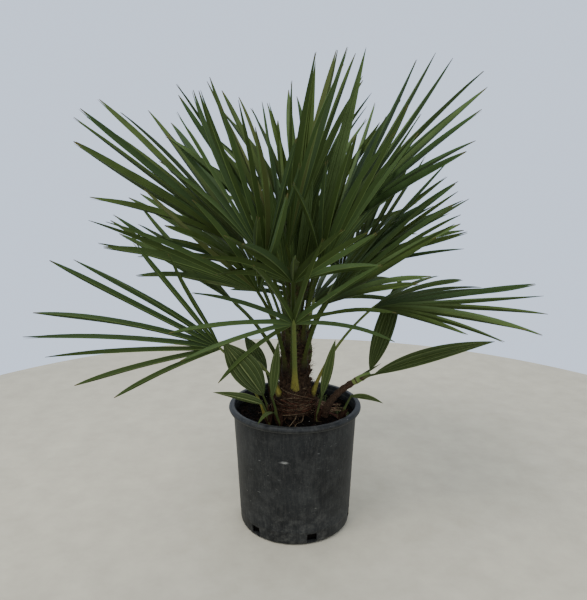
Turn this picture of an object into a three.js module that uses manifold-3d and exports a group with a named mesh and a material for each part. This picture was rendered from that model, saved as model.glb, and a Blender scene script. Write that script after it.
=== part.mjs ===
// Potted European fan palm: a young clump of Chamaerops humilis in a round nursery pot.
// Millimetres, +Z up. The pot's axis is the Z axis, its underside is at Z = 0, and the side
// that the plant shows first is toward -Y. Compass angles count from +X toward +Y.
import * as THREE from 'three';
import { mergeVertices } from 'three/addons/utils/BufferGeometryUtils.js';
import Module from 'manifold-3d';

const wasm = await Module();
wasm.setup();

// Pot
const POT_RIM_RADIUS = 110;
const POT_BODY_RADIUS = 102.5;
const POT_FOOT_RADIUS = 93;
const POT_RIM_TOP = 207;
const POT_LIP_HEIGHT = 9;
const POT_WALL = 2.4;
const POT_FLOOR = 3;
const POT_FOOT_ROUND = 6;
const POT_SIDES = 40;
const HOLE_COUNT = 6;
const HOLE_WIDTH = 16;
const HOLE_HEIGHT = 16;
const HOLE_LOW = 3;
const HOLE_CUT_DEPTH = 24;
const HOLE_FIRST_TURN = 227;

// Soil
const SOIL_TOP = 192;
const SOIL_EDGE_DROP = 3;
const SOIL_FLAT_RADIUS = 42;
const SOIL_SIDES = 28;

// Trunk
const TRUNK_TOP = 333;
const TRUNK_RADIUS = 22;
const TRUNK_TIP_RADIUS = 15;
const TRUNK_TAPER_FROM = 262;
const TRUNK_FLARE = 15;
const TRUNK_FLARE_HEIGHT = 32;
const TRUNK_SIDES = 20;
const TRUNK_RINGS = 10;

// Clearances between pieces, and the petioles' own sizes
const SEAT_GAP = 0.3;
const LEAF_GAP = 0.6;
const RIM_CLEARANCE = 6;
const PETIOLE_SIDES = 6;
const PETIOLE_STEPS = 4;
const PETIOLE_PAST_HUB = 5;
const CROWN_STALK = [6, 3];
const SHOOT_STALK = [3.4, 2.2];
const STEM_SIDES = 8;

// Colours of the finishes
const GREEN = 0x44602f;
const YOUNG_GREEN = 0x55702f;
const BARK = 0x4a3524;
const POT_GREY = 0x2f3236;
const SOIL_BROWN = 0x1b1612;
const STEM_BROWN = 0x6b4330;

// The crown's fronds, the front ones first. turn and foot place the petiole on the trunk, hub is
// where the leaflets meet, aim is the compass angle and rise of the middle leaflet, roll turns
// the fan about it. fan is the angle between the end leaflets, reach the longest leaflet,
// ends the end leaflets' share of it, and split the fused share of each leaflet. stalk is the
// petiole's radius at its foot and at the hub.
const CROWN = [
  { name: 'frond_front_low', turn: 270, foot: 228, hub: [-2, -92, 363], aim: [280, 50], roll: 0,
    leaflets: 9, fan: 205, skew: -22, reach: 215, ends: 0.95, cup: -6, droop: 0.3, width: 11, split: 0.24 },
  { name: 'frond_front_left', turn: 225, foot: 270, hub: [-55, -65, 406], aim: [205, 30], roll: -20,
    leaflets: 12, fan: 130, skew: 0, reach: 270, ends: 0.9, cup: 8, droop: 0.15, width: 16, split: 0.33 },
  { name: 'frond_front_middle', turn: 262, foot: 262, hub: [-3, -112, 428], aim: [270, 30], roll: 0,
    leaflets: 11, fan: 170, skew: 0, reach: 180, ends: 0.7, cup: 15, droop: 0.25, width: 15, split: 0.33 },
  { name: 'frond_front_right', turn: 312, foot: 275, hub: [47, -60, 386], aim: [350, 42], roll: -15,
    leaflets: 12, fan: 100, skew: 0, reach: 268, ends: 0.9, cup: 8, droop: 0.2, width: 16, split: 0.33 },
  { name: 'frond_right_low', turn: 345, foot: 222, hub: [122, -20, 372], aim: [355, 5], roll: -6,
    leaflets: 11, fan: 105, skew: 0, reach: 270, ends: 0.8, cup: 6, droop: 0.2, width: 15, split: 0.33 },
  { name: 'frond_left_low', at: [-46, -34], stalk: [4.5, 3], hub: [-113, -60, 316], aim: [195, 22], roll: -75,
    leaflets: 9, fan: 85, skew: 0, reach: 300, ends: 0.65, cup: 0, droop: 0.1, width: 15, split: 0.3 },
  { name: 'frond_top_middle', turn: 275, foot: 315, hub: [-11, -40, 466], aim: [340, 71], roll: 0,
    leaflets: 10, fan: 60, skew: 0, reach: 308, ends: 0.95, cup: 5, droop: 0.04, width: 18, split: 0.4 },
  { name: 'frond_top_right', turn: 5, foot: 320, hub: [53, 20, 480], aim: [350, 50], roll: -24,
    leaflets: 11, fan: 78, skew: 0, reach: 350, ends: 0.85, cup: 5, droop: 0.06, width: 17, split: 0.4 },
  { name: 'frond_top_left', turn: 175, foot: 318, hub: [-77, 10, 461], aim: [185, 44], roll: 22,
    leaflets: 11, fan: 80, skew: 0, reach: 350, ends: 0.85, cup: 5, droop: 0.08, width: 17, split: 0.4 },
  { name: 'frond_top_centre_left', turn: 130, foot: 320, hub: [-16, 30, 451], aim: [165, 65], roll: 20,
    leaflets: 9, fan: 60, skew: 0, reach: 330, ends: 0.85, cup: 5, droop: 0.05, width: 17, split: 0.4 },
  { name: 'frond_left_middle', turn: 172, foot: 268, stalk: [7, 4], hub: [-98, 24, 370], aim: [170, 36], roll: 0,
    leaflets: 7, fan: 42, skew: 0, reach: 275, ends: 0.85, cup: 5, droop: 0.08, width: 15, split: 0.38 },
  { name: 'frond_upper_front_left', turn: 232, foot: 310, hub: [-45, -50, 452], aim: [225, 62], roll: 0,
    leaflets: 11, fan: 90, skew: 0, reach: 280, ends: 0.85, cup: 6, droop: 0.1, width: 17, split: 0.4 },
  { name: 'frond_upper_front_right', turn: 320, foot: 312, hub: [40, -52, 440], aim: [325, 58], roll: 0,
    leaflets: 11, fan: 90, skew: 0, reach: 280, ends: 0.85, cup: 6, droop: 0.1, width: 17, split: 0.4 },
  { name: 'frond_right_middle', turn: 40, foot: 300, hub: [96, 52, 424], aim: [32, 50], roll: 0,
    leaflets: 11, fan: 100, skew: 0, reach: 260, ends: 0.85, cup: 6, droop: 0.12, width: 16, split: 0.33 },
  { name: 'frond_back_top', turn: 85, foot: 320, hub: [10, 66, 476], aim: [90, 66], roll: 0,
    leaflets: 11, fan: 100, skew: 0, reach: 290, ends: 0.85, cup: 6, droop: 0.08, width: 17, split: 0.4 },
  { name: 'frond_back_middle', turn: 92, foot: 275, hub: [12, 108, 436], aim: [88, 42], roll: 0,
    leaflets: 12, fan: 140, skew: 0, reach: 280, ends: 0.85, cup: 8, droop: 0.2, width: 16, split: 0.33 },
  { name: 'frond_back_left', turn: 128, foot: 262, hub: [-70, 92, 412], aim: [132, 36], roll: 0,
    leaflets: 12, fan: 130, skew: 0, reach: 275, ends: 0.85, cup: 8, droop: 0.2, width: 16, split: 0.33 },
  { name: 'frond_back_right', turn: 52, foot: 268, hub: [80, 90, 408], aim: [42, 36], roll: 0,
    leaflets: 12, fan: 130, skew: 0, reach: 275, ends: 0.85, cup: 8, droop: 0.2, width: 16, split: 0.33 },
  { name: 'frond_back_low', turn: 75, foot: 235, hub: [34, 118, 352], aim: [75, 20], roll: 0,
    leaflets: 10, fan: 150, skew: 0, reach: 230, ends: 0.85, cup: 6, droop: 0.3, width: 15, split: 0.33 },
];

// The side shoots' young leaves are undivided: lance-shaped blades, widest at the share of their
// length that widest gives. at is the petiole's foot, and those with no height stand in the soil.
const SHOOTS = [
  { name: 'shoot_leaf_left_pleated', at: [-38, -47], hub: [-50, -50, 236], aim: [200, 58], roll: -70,
    reach: 118, width: 48, widest: 0.45, droop: 0.1 },
  { name: 'shoot_leaf_left_upright', at: [-27, -54], hub: [-36, -58, 236], aim: [320, 82], roll: -125,
    reach: 98, width: 16, widest: 0.45, droop: 0.05 },
  { name: 'shoot_leaf_left_flat', at: [-40, -63], hub: [-50, -67, 229], aim: [200, 26], roll: -50,
    reach: 88, width: 20, widest: 0.35, droop: 0.2 },
  { name: 'shoot_leaf_left_drooping', at: [-23, -70], hub: [-30, -77, 218], aim: [235, 30], roll: 0,
    reach: 52, width: 10, widest: 0.4, droop: 1.1 },
  { name: 'shoot_leaf_right_upright', at: [34, -48], hub: [42, -46, 232], aim: [348, 78], roll: -95,
    reach: 102, width: 16, widest: 0.45, droop: 0.05 },
  { name: 'shoot_leaf_right_tall', at: [107.3, -26.4, 259.7], hub: [121, -23, 270], aim: [56, 51], roll: -38,
    reach: 183, width: 34, widest: 0.42, droop: 0.02 },
  { name: 'shoot_leaf_right_long', at: [106.8, -33.8, 259.6], hub: [126, -38, 268], aim: [0, 22], roll: -40,
    reach: 205, width: 27, widest: 0.42, droop: 0.22 },
  { name: 'shoot_leaf_right_low', at: [72, -46], hub: [88, -52, 236], aim: [350, 8], roll: -30,
    reach: 52, width: 12, widest: 0.4, droop: 0.6 },
  { name: 'shoot_leaf_back_left', at: [-40, 48], hub: [-50, 60, 238], aim: [131, 43], roll: 30,
    reach: 88, width: 26, widest: 0.45, droop: 0.15 },
  { name: 'shoot_leaf_back_right', at: [12, 56], hub: [15, 70, 236], aim: [86, 32], roll: 0,
    reach: 118, width: 30, widest: 0.4, droop: 0.3 },
];

// The crown's spear: its youngest frond, still shut to one narrow blade, on the trunk's top.
const SPEAR = {
  name: 'frond_spear', at: [0, -1, 333.8], stalk: [4.5, 3.5], hub: [20, -14, 420], aim: [325, 74], roll: -120,
  reach: 345, width: 24, widest: 0.4, droop: 0,
};

// The bare stem of the right-hand shoot: where it leaves the soil, its bend and its tip.
const SHOOT_STEM = { at: [48, -26], bendHeight: 226, tip: [106, -30, 259], radius: 8, tipRadius: 6 };

const UP = new THREE.Vector3(0, 0, 1);
const radians = THREE.MathUtils.degToRad;
const vec = (xyz) => new THREE.Vector3(...xyz);
const along = (point, direction, distance) => point.clone().addScaledVector(direction, distance);

// A repeatable row of numbers from 0 to 1 for one frond.
function makeRandom(seed) {
  let value = (seed * 7919 + 12345) % 4294967296;
  return () => {
    value = (value * 1664525 + 1013904223) % 4294967296;
    return value / 4294967296;
  };
}

// A unit vector from a compass angle and a rise.
function pointing(turn, rise) {
  const level = Math.cos(radians(rise));
  return new THREE.Vector3(
    level * Math.cos(radians(turn)),
    level * Math.sin(radians(turn)),
    Math.sin(radians(rise)),
  );
}

// A mesh from its points and its triangles' corner numbers.
function meshGeometry(points, triangles) {
  const geometry = new THREE.BufferGeometry();
  const positions = points.flatMap((point) => [point.x, point.y, point.z]);
  geometry.setAttribute('position', new THREE.Float32BufferAttribute(positions, 3));
  geometry.setIndex(triangles);
  return geometry;
}

// A closed body through rings of points, each ring counter-clockwise seen from ahead of it.
function loft(rings) {
  const sides = rings[0].length;
  const points = rings.flat();
  const triangles = [];
  for (let ring = 0; ring < rings.length - 1; ring += 1) {
    for (let side = 0; side < sides; side += 1) {
      const next = (side + 1) % sides;
      const a = ring * sides + side;
      const b = ring * sides + next;
      triangles.push(a, b, b + sides, a, b + sides, a + sides);
    }
  }
  const last = (rings.length - 1) * sides;
  for (let side = 1; side < sides - 1; side += 1) {
    triangles.push(0, side + 1, side);
    triangles.push(last, last + side, last + side + 1);
  }
  return meshGeometry(points, triangles);
}

// A closed body that can be joined and cut, its doubled points merged.
function solid(geometry) {
  const bare = geometry.clone();
  bare.deleteAttribute('normal');
  bare.deleteAttribute('uv');
  const merged = mergeVertices(bare, 1e-4);
  const vertProperties = new Float32Array(merged.attributes.position.array);
  const triVerts = new Uint32Array(merged.index.array);
  return new wasm.Manifold(new wasm.Mesh({ numProp: 3, vertProperties, triVerts }));
}

function geometryOf(manifold) {
  const mesh = manifold.getMesh();
  const geometry = new THREE.BufferGeometry();
  geometry.setAttribute('position', new THREE.BufferAttribute(new Float32Array(mesh.vertProperties), 3));
  geometry.setIndex(new THREE.BufferAttribute(new Uint32Array(mesh.triVerts), 1));
  return geometry;
}

// The trunk's radius: a root flare at the soil, then straight, then narrowing to its tip.
function trunkRadius(z) {
  const flare = TRUNK_FLARE * Math.exp(-(((z - SOIL_TOP) / TRUNK_FLARE_HEIGHT) ** 2));
  const taper = THREE.MathUtils.clamp((z - TRUNK_TAPER_FROM) / (TRUNK_TOP - TRUNK_TAPER_FROM), 0, 1);
  return TRUNK_RADIUS + flare + (TRUNK_TIP_RADIUS - TRUNK_RADIUS) * taper;
}

// A petiole's or stem's rings of points along a bent line, and each ring's own axes.
function limbRings(curve, radiusAt, steps, sides) {
  const rings = [];
  const axes = [];
  for (let step = 0; step <= steps; step += 1) {
    const t = step / steps;
    const centre = curve.getPoint(t);
    const tangent = curve.getTangent(t);
    const across = new THREE.Vector3().crossVectors(UP, tangent).normalize();
    const inward = new THREE.Vector3().crossVectors(tangent, across);
    const ring = [];
    for (let side = 0; side < sides; side += 1) {
      const angle = (2 * Math.PI * side) / sides;
      const point = along(centre, across, radiusAt(t) * Math.cos(angle));
      ring.push(point.addScaledVector(inward, radiusAt(t) * Math.sin(angle)));
    }
    rings.push(ring);
    axes.push([tangent, across, inward]);
  }
  return { rings, axes };
}

// Space already taken, as convex spans of limbs and leaflets.
const taken = [];

function makeSpan(points, axes) {
  return { points, axes, box: new THREE.Box3().setFromPoints(points) };
}

// Whether two sets of points lie at least a gap apart along one axis.
function apartAlong(axis, first, second, gap) {
  const length = axis.length();
  if (length < 1e-3) {
    return false;
  }
  let [lowA, highA, lowB, highB] = [Infinity, -Infinity, Infinity, -Infinity];
  for (const point of first) {
    const place = point.dot(axis) / length;
    lowA = Math.min(lowA, place);
    highA = Math.max(highA, place);
  }
  for (const point of second) {
    const place = point.dot(axis) / length;
    lowB = Math.min(lowB, place);
    highB = Math.max(highB, place);
  }
  return lowB - highA >= gap || lowA - highB >= gap;
}

// Whether two spans lie apart along their own axes or along one square to an axis of each.
function apart(first, second, gap) {
  const room = first.box.clone().expandByScalar(gap);
  if (!room.intersectsBox(second.box)) {
    return true;
  }
  for (const axis of [...first.axes, ...second.axes]) {
    if (apartAlong(axis, first.points, second.points, gap)) {
      return true;
    }
  }
  const cross = new THREE.Vector3();
  for (const one of first.axes) {
    for (const other of second.axes) {
      if (apartAlong(cross.crossVectors(one, other), first.points, second.points, gap)) {
        return true;
      }
    }
  }
  return false;
}

// A leaflet stays off the trunk, over the soil and over the pot's rim.
function clearOfTrunkAndPot(point) {
  const out = Math.hypot(point.x, point.y);
  if (point.z < SOIL_TOP + 2) {
    return false;
  }
  if (point.z < POT_RIM_TOP + 2 && out > POT_BODY_RADIUS - POT_WALL - RIM_CLEARANCE) {
    return false;
  }
  return point.z > TRUNK_TOP + 1 || out > trunkRadius(Math.max(point.z, SOIL_TOP)) + LEAF_GAP;
}

// Whether a span clears the trunk, the pot and all that other leaves have taken.
function spanFits(span, owner) {
  for (const point of span.points) {
    for (const other of span.points) {
      if (!clearOfTrunkAndPot(point.clone().lerp(other, 0.5))) {
        return false;
      }
    }
  }
  return taken.every((entry) => entry.owner === owner || apart(span, entry.span, LEAF_GAP));
}

// A leaf is a little more than a hundredth of its length thick.
function bladeThickness(frond) {
  return frond.reach / 100 + 0.2;
}

// The frond's own frame: m runs along the middle leaflet, s across the fan, n out of its face.
function fanFrame(frond) {
  const [turn, rise] = frond.aim;
  const m = pointing(turn, rise);
  const level = pointing(turn, rise + 90);
  const side = new THREE.Vector3().crossVectors(level, m);
  const n = level.multiplyScalar(Math.cos(radians(frond.roll)));
  n.addScaledVector(side, Math.sin(radians(frond.roll)));
  return { m, n, s: new THREE.Vector3().crossVectors(n, m) };
}

// One ray of the fan at angle phi: its direction, its width direction and its face normal.
function fanRay(frond, frame, phi, length, droop) {
  const lift = radians(frond.cup ?? 0) * Math.abs(Math.sin(phi));
  const flat = frame.m.clone().multiplyScalar(Math.cos(phi)).addScaledVector(frame.s, Math.sin(phi));
  const u = flat.multiplyScalar(Math.cos(lift)).addScaledVector(frame.n, Math.sin(lift));
  const w = frame.m.clone().multiplyScalar(-Math.sin(phi)).addScaledVector(frame.s, Math.cos(phi));
  const normal = new THREE.Vector3().crossVectors(u, w);
  const hub = vec(frond.hub);
  const at = (t) => along(hub, u, length * t).addScaledVector(UP, (-length * droop * t * t) / 2);
  return { u, w, normal, at, length };
}

// The leaflets' rays in order across the fan, and the rays of the folds between them.
function fanRays(frond, seed) {
  const frame = fanFrame(frond);
  const random = makeRandom(seed);
  const last = frond.leaflets - 1;
  const fan = radians(frond.fan);
  const middles = [];
  for (let k = 0; k <= last; k += 1) {
    const place = k / last - 0.5;
    const phi = fan * place + radians(frond.skew) + radians((random() - 0.5) * 3);
    const share = 1 - (1 - frond.ends) * (2 * place) ** 2;
    const length = frond.reach * share * (1 - 0.1 * random());
    const droop = frond.droop * (0.7 + 0.6 * random());
    middles.push({ phi, length, droop, ray: fanRay(frond, frame, phi, length, droop) });
  }
  const pitch = fan / last;
  const folds = [];
  for (let k = 0; k <= frond.leaflets; k += 1) {
    const before = middles[Math.max(k - 1, 0)];
    const after = middles[Math.min(k, last)];
    const outward = (k === 0 ? -0.4 : 0) + (k > last ? 0.4 : 0);
    const phi = (before.phi + after.phi) / 2 + outward * pitch;
    const length = (before.length + after.length) / 2;
    folds.push(fanRay(frond, frame, phi, length, (before.droop + after.droop) / 2));
  }
  return { frame, middles, folds, pitch };
}

// The corner points of one leaflet, pushed off its plane by nudge times its length. Stations
// along its free part run from 0, where it leaves its neighbours, to 1 at its tip.
function leafletPoints(frond, fan, k, nudge, trim) {
  const { ray, length } = fan.middles[k];
  const split = frond.split;
  const thick = bladeThickness(frond);
  const widest = Math.min(frond.width, 2 * split * length * Math.tan(fan.pitch / 2)) / 2;
  const centre = (q) => {
    const onRay = ray.at(split + (1 - split) * q * trim);
    return along(onRay, ray.normal, nudge * length * q * q);
  };
  const foldPair = (fold) => [
    along(fold.at(split), fold.normal, thick / 2),
    along(fold.at(split), fold.normal, -thick / 2),
  ];
  const stations = (frond.droop > 0.15 ? [0.35, 0.7] : [0.45]).map((q) => {
    const middle = centre(q);
    const half = widest * (1 - 0.9 * q ** 1.8);
    return [
      along(middle, ray.w, -half),
      along(middle, ray.w, half),
      along(middle, ray.normal, -thick * (1.15 - 0.5 * q)),
    ];
  });
  const dip = 0.3 * widest;
  return {
    before: foldPair(fan.folds[k]),
    after: foldPair(fan.folds[k + 1]),
    crease: [
      along(ray.at(split), ray.normal, thick / 2 - dip),
      along(ray.at(split), ray.normal, -thick / 2 - dip),
    ],
    stations,
    tip: centre(1),
    axes: [ray.u, ray.w, ray.normal],
  };
}

// The convex spans that a leaflet fills, from the hub to its tip.
function leafletSpans(leaflet, hubPair) {
  const root = [...leaflet.before, ...leaflet.after, ...leaflet.crease];
  const spans = [makeSpan([...hubPair, ...root], leaflet.axes)];
  let previous = root;
  for (const station of leaflet.stations) {
    spans.push(makeSpan([...previous, ...station], leaflet.axes));
    previous = station;
  }
  spans.push(makeSpan([...previous, leaflet.tip], leaflet.axes));
  return spans;
}

// The first bend and length of a blade that clears everything placed before it, or none.
function fitBlade(owner, shape) {
  for (const trim of [1, 0.8, 0.6]) {
    for (const nudge of [0, 0.05, -0.05, 0.1, -0.1, 0.16, -0.16]) {
      const fit = shape(nudge, trim);
      if (fit.spans.every((span) => spanFits(span, owner))) {
        fit.spans.forEach((span) => taken.push({ owner, span }));
        return fit;
      }
    }
  }
  return null;
}

// A closed blade from neighbouring leaflets that share their folds up to the split.
function bladeGeometry(run, hubPair) {
  const points = [...hubPair];
  const triangles = [];
  const put = (list) => list.map((point) => points.push(point) - 1);
  const [hubTop, hubLow] = [0, 1];
  let [foldTop, foldLow] = put(run[0].before);
  triangles.push(hubTop, hubLow, foldLow, hubTop, foldLow, foldTop);
  for (const leaflet of run) {
    const [creaseTop, creaseLow] = put(leaflet.crease);
    const [nextTop, nextLow] = put(leaflet.after);
    const stations = leaflet.stations.map(put);
    const [tip] = put([leaflet.tip]);
    const [left, right, keel] = stations[0];
    triangles.push(hubTop, foldTop, creaseTop, hubTop, creaseTop, nextTop);
    triangles.push(hubLow, creaseLow, foldLow, hubLow, nextLow, creaseLow);
    triangles.push(foldTop, left, creaseTop, creaseTop, left, right, creaseTop, right, nextTop);
    triangles.push(foldTop, foldLow, left, nextTop, right, nextLow);
    triangles.push(foldLow, creaseLow, keel, foldLow, keel, left);
    triangles.push(creaseLow, nextLow, right, creaseLow, right, keel);
    let [a, b, c] = [left, right, keel];
    for (const [left2, right2, keel2] of stations.slice(1)) {
      triangles.push(a, left2, right2, a, right2, b);
      triangles.push(a, c, keel2, a, keel2, left2, c, b, right2, c, right2, keel2);
      [a, b, c] = [left2, right2, keel2];
    }
    triangles.push(a, tip, b, a, c, tip, c, b, tip);
    [foldTop, foldLow] = [nextTop, nextLow];
  }
  triangles.push(hubTop, foldTop, foldLow, hubTop, foldLow, hubLow);
  return meshGeometry(points, triangles);
}

// The height of the soil's surface at a distance from the pot's axis.
function soilHeight(out) {
  const share = Math.max(0, out - SOIL_FLAT_RADIUS) / (POT_BODY_RADIUS - SOIL_FLAT_RADIUS);
  return SOIL_TOP - SOIL_EDGE_DROP * share;
}

// A limb that stands in the soil is cut level just over it.
function cutAtSoil(limb) {
  limb.rings[0].forEach((point) => {
    point.z = soilHeight(Math.hypot(point.x, point.y)) + SEAT_GAP;
  });
  return limb;
}

// A line from foot to hub that bows a little upward.
function bowedCurve(foot, hub) {
  const chord = hub.clone().sub(foot);
  const bow = UP.clone().addScaledVector(chord, -chord.z / chord.lengthSq()).normalize();
  const bend = foot.clone().lerp(hub, 0.5).addScaledVector(bow, 0.08 * chord.length());
  return new THREE.QuadraticBezierCurve3(foot, bend, hub);
}

// A petiole's foot: on its own spot, or with its nearest corner just off the trunk.
function petioleFoot(frond, footRadius) {
  if (frond.at) {
    const [x, y, z = soilHeight(Math.hypot(x, y)) + SEAT_GAP] = frond.at;
    return new THREE.Vector3(x, y, z);
  }
  const outward = pointing(frond.turn, 0);
  const near = along(new THREE.Vector3(0, 0, frond.foot), outward, trunkRadius(frond.foot) + footRadius);
  const { rings } = limbRings(bowedCurve(near, vec(frond.hub)), () => footRadius, 1, PETIOLE_SIDES);
  const reaches = rings[0].map((corner) => trunkRadius(corner.z) + near.clone().sub(corner).dot(outward));
  return outward.multiplyScalar(Math.max(...reaches) + SEAT_GAP).setZ(frond.foot);
}

// A leaf's petiole, which runs on a little way past the hub into the blade.
function petioleLimb(frond) {
  const [footRadius, hubRadius] = frond.stalk ?? (frond.widest ? SHOOT_STALK : CROWN_STALK);
  const curve = bowedCurve(petioleFoot(frond, footRadius), vec(frond.hub));
  const radiusAt = (t) => THREE.MathUtils.lerp(footRadius, hubRadius, Math.sqrt(t));
  const limb = limbRings(curve, radiusAt, PETIOLE_STEPS, PETIOLE_SIDES);
  const onward = curve.getTangent(1).multiplyScalar(PETIOLE_PAST_HUB);
  limb.rings.push(limb.rings.at(-1).map((point) => point.clone().add(onward)));
  limb.axes.push(limb.axes.at(-1));
  const inSoil = frond.at && frond.at.length === 2;
  return inSoil ? cutAtSoil(limb) : limb;
}

// A limb's spans are taken by its owner.
function takeLimb(owner, limb) {
  for (let step = 0; step < limb.rings.length - 1; step += 1) {
    const points = [...limb.rings[step], ...limb.rings[step + 1]];
    taken.push({ owner, span: makeSpan(points, limb.axes[step]) });
  }
}

// One frond: its petiole and its blade, joined into one body.
function frondGeometry(frond, seed) {
  const fan = fanRays(frond, seed);
  const thick = bladeThickness(frond);
  const hub = vec(frond.hub);
  const hubPair = [along(hub, fan.frame.n, thick / 2), along(hub, fan.frame.n, -thick / 2)];
  let body = solid(loft(petioleLimb(frond).rings));
  let run = [];
  const closeRun = () => {
    if (run.length > 0) {
      body = body.add(solid(bladeGeometry(run, hubPair)));
    }
    run = [];
  };
  for (let k = 0; k < frond.leaflets; k += 1) {
    const fit = fitBlade(frond.name, (nudge, trim) => {
      const leaflet = leafletPoints(frond, fan, k, nudge, trim);
      return { leaflet, spans: leafletSpans(leaflet, hubPair) };
    });
    if (fit) {
      run.push(fit.leaflet);
    } else {
      closeRun();
    }
  }
  closeRun();
  return geometryOf(body);
}

// The stations of a lance-shaped blade: its two edges and its keel.
function lanceStations(leaf, nudge, trim) {
  const ray = fanRay(leaf, fanFrame(leaf), 0, leaf.reach, leaf.droop);
  const centre = (q) => along(ray.at(q * trim), ray.normal, nudge * leaf.reach * q * q);
  const bulge = Math.log(0.5) / Math.log(leaf.widest);
  const stations = [0.1, 0.28, 0.5, 0.72, 0.88].map((q) => {
    const half = (leaf.width / 2) * Math.sin(Math.PI * q ** bulge) ** 0.9;
    const middle = centre(q);
    const edge = along(middle, ray.normal, 0.25 * half);
    return [
      along(edge, ray.w, -half),
      along(edge, ray.w, half),
      along(middle, ray.normal, -bladeThickness(leaf)),
    ];
  });
  return { stations, tip: centre(1), axes: [ray.u, ray.w, ray.normal] };
}

// One young leaf: its petiole and its lance-shaped blade, joined into one body.
function lanceGeometry(leaf) {
  const hub = vec(leaf.hub);
  let body = solid(loft(petioleLimb(leaf).rings));
  const fit = fitBlade(leaf.name, (nudge, trim) => {
    const blade = lanceStations(leaf, nudge, trim);
    const chain = [[hub], ...blade.stations, [blade.tip]];
    const spans = chain.slice(1).map((next, i) => makeSpan([...chain[i], ...next], blade.axes));
    return { blade, spans };
  });
  if (fit) {
    const points = [hub, ...fit.blade.stations.flat(), fit.blade.tip];
    const tip = points.length - 1;
    const triangles = [0, 1, 2, 0, 3, 1, 0, 2, 3];
    for (let a = 1; a + 3 < tip; a += 3) {
      triangles.push(a, a + 3, a + 4, a, a + 4, a + 1);
      triangles.push(a, a + 2, a + 5, a, a + 5, a + 3, a + 2, a + 1, a + 4, a + 2, a + 4, a + 5);
    }
    triangles.push(tip - 3, tip, tip - 2, tip - 3, tip - 1, tip, tip - 1, tip - 2, tip);
    body = body.add(solid(meshGeometry(points, triangles)));
  }
  return geometryOf(body);
}

// The radius of the pot's outer face under its lip.
function potOutside(z) {
  const share = z / (POT_RIM_TOP - POT_LIP_HEIGHT);
  return THREE.MathUtils.lerp(POT_FOOT_RADIUS, POT_BODY_RADIUS, share);
}

// A body turned about the Z axis from radius and height pairs.
function turned(profile, sides) {
  const points = profile.map(([radius, z]) => new THREE.Vector2(radius, z));
  return new THREE.LatheGeometry(points, sides).rotateX(Math.PI / 2);
}

// The pot: a tapered shell with a thick lip and a ring of drain holes at its foot.
function potGeometry() {
  const lipLow = POT_RIM_TOP - POT_LIP_HEIGHT;
  const holeTop = HOLE_LOW + HOLE_HEIGHT;
  const profile = [
    [0, 0],
    [POT_FOOT_RADIUS - POT_FOOT_ROUND, 0],
    [potOutside(2) - 1.8, 1.8],
    [potOutside(POT_FOOT_ROUND), POT_FOOT_ROUND],
    [potOutside(holeTop + 2), holeTop + 2],
    [POT_BODY_RADIUS, lipLow],
    [POT_RIM_RADIUS - 1, lipLow],
    [POT_RIM_RADIUS, lipLow + 2],
    [POT_RIM_RADIUS, POT_RIM_TOP - 2.5],
    [POT_RIM_RADIUS - 2.5, POT_RIM_TOP],
    [POT_BODY_RADIUS - 1, POT_RIM_TOP],
    [POT_BODY_RADIUS - POT_WALL, POT_RIM_TOP - 2],
    [potOutside(POT_FLOOR + 6) - POT_WALL, POT_FLOOR + 6],
    [POT_FOOT_RADIUS - POT_WALL - 5, POT_FLOOR],
    [0, POT_FLOOR],
  ];
  let body = solid(turned(profile, POT_SIDES));
  for (let hole = 0; hole < HOLE_COUNT; hole += 1) {
    const cutter = new THREE.BoxGeometry(HOLE_CUT_DEPTH, HOLE_WIDTH, HOLE_HEIGHT);
    cutter.translate(POT_FOOT_RADIUS, 0, HOLE_LOW + HOLE_HEIGHT / 2);
    cutter.rotateZ(radians(HOLE_FIRST_TURN + (360 * hole) / HOLE_COUNT));
    body = body.subtract(solid(cutter));
  }
  return geometryOf(body);
}

// The soil fills the pot to just under its rim, a hair clear of the wall and the floor.
function soilGeometry() {
  const inside = (z) => potOutside(z) - POT_WALL - 1;
  const low = POT_FLOOR + SEAT_GAP;
  const edge = inside(SOIL_TOP);
  const profile = [
    [0, low],
    [inside(low) - 7, low],
    [inside(low + 9) - 1, low + 9],
    [edge, soilHeight(edge)],
    [SOIL_FLAT_RADIUS, SOIL_TOP],
    [0, SOIL_TOP],
  ];
  return turned(profile, SOIL_SIDES);
}

// The trunk is round, with its flat foot just over the soil.
function trunkGeometry() {
  const rings = [];
  for (let step = 0; step <= TRUNK_RINGS; step += 1) {
    const z = THREE.MathUtils.lerp(SOIL_TOP + SEAT_GAP, TRUNK_TOP, step / TRUNK_RINGS);
    const ring = [];
    for (let side = 0; side < TRUNK_SIDES; side += 1) {
      const angle = (2 * Math.PI * side) / TRUNK_SIDES;
      ring.push(new THREE.Vector3(trunkRadius(z) * Math.cos(angle), trunkRadius(z) * Math.sin(angle), z));
    }
    rings.push(ring);
  }
  return loft(rings);
}

// The right-hand shoot's stem rises from the soil and then leans outward.
function shootStemLimb() {
  const { at, bendHeight, tip, radius, tipRadius } = SHOOT_STEM;
  const foot = new THREE.Vector3(...at, soilHeight(Math.hypot(...at)) + SEAT_GAP);
  const bend = new THREE.Vector3(...at, bendHeight);
  const curve = new THREE.QuadraticBezierCurve3(foot, bend, vec(tip));
  const radiusAt = (t) => THREE.MathUtils.lerp(radius, tipRadius, t);
  return cutAtSoil(limbRings(curve, radiusAt, PETIOLE_STEPS, STEM_SIDES));
}

const palm = new THREE.Group();

// A named solid of the palm with its plain finish.
function addNode(name, geometry, color, roughness) {
  const material = new THREE.MeshStandardMaterial({ color, roughness, metalness: 0 });
  const mesh = new THREE.Mesh(geometry, material);
  mesh.name = name;
  palm.add(mesh);
}

addNode('pot', potGeometry(), POT_GREY, 0.55);
addNode('soil', soilGeometry(), SOIL_BROWN, 1);
addNode('trunk', trunkGeometry(), BARK, 0.95);

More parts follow.
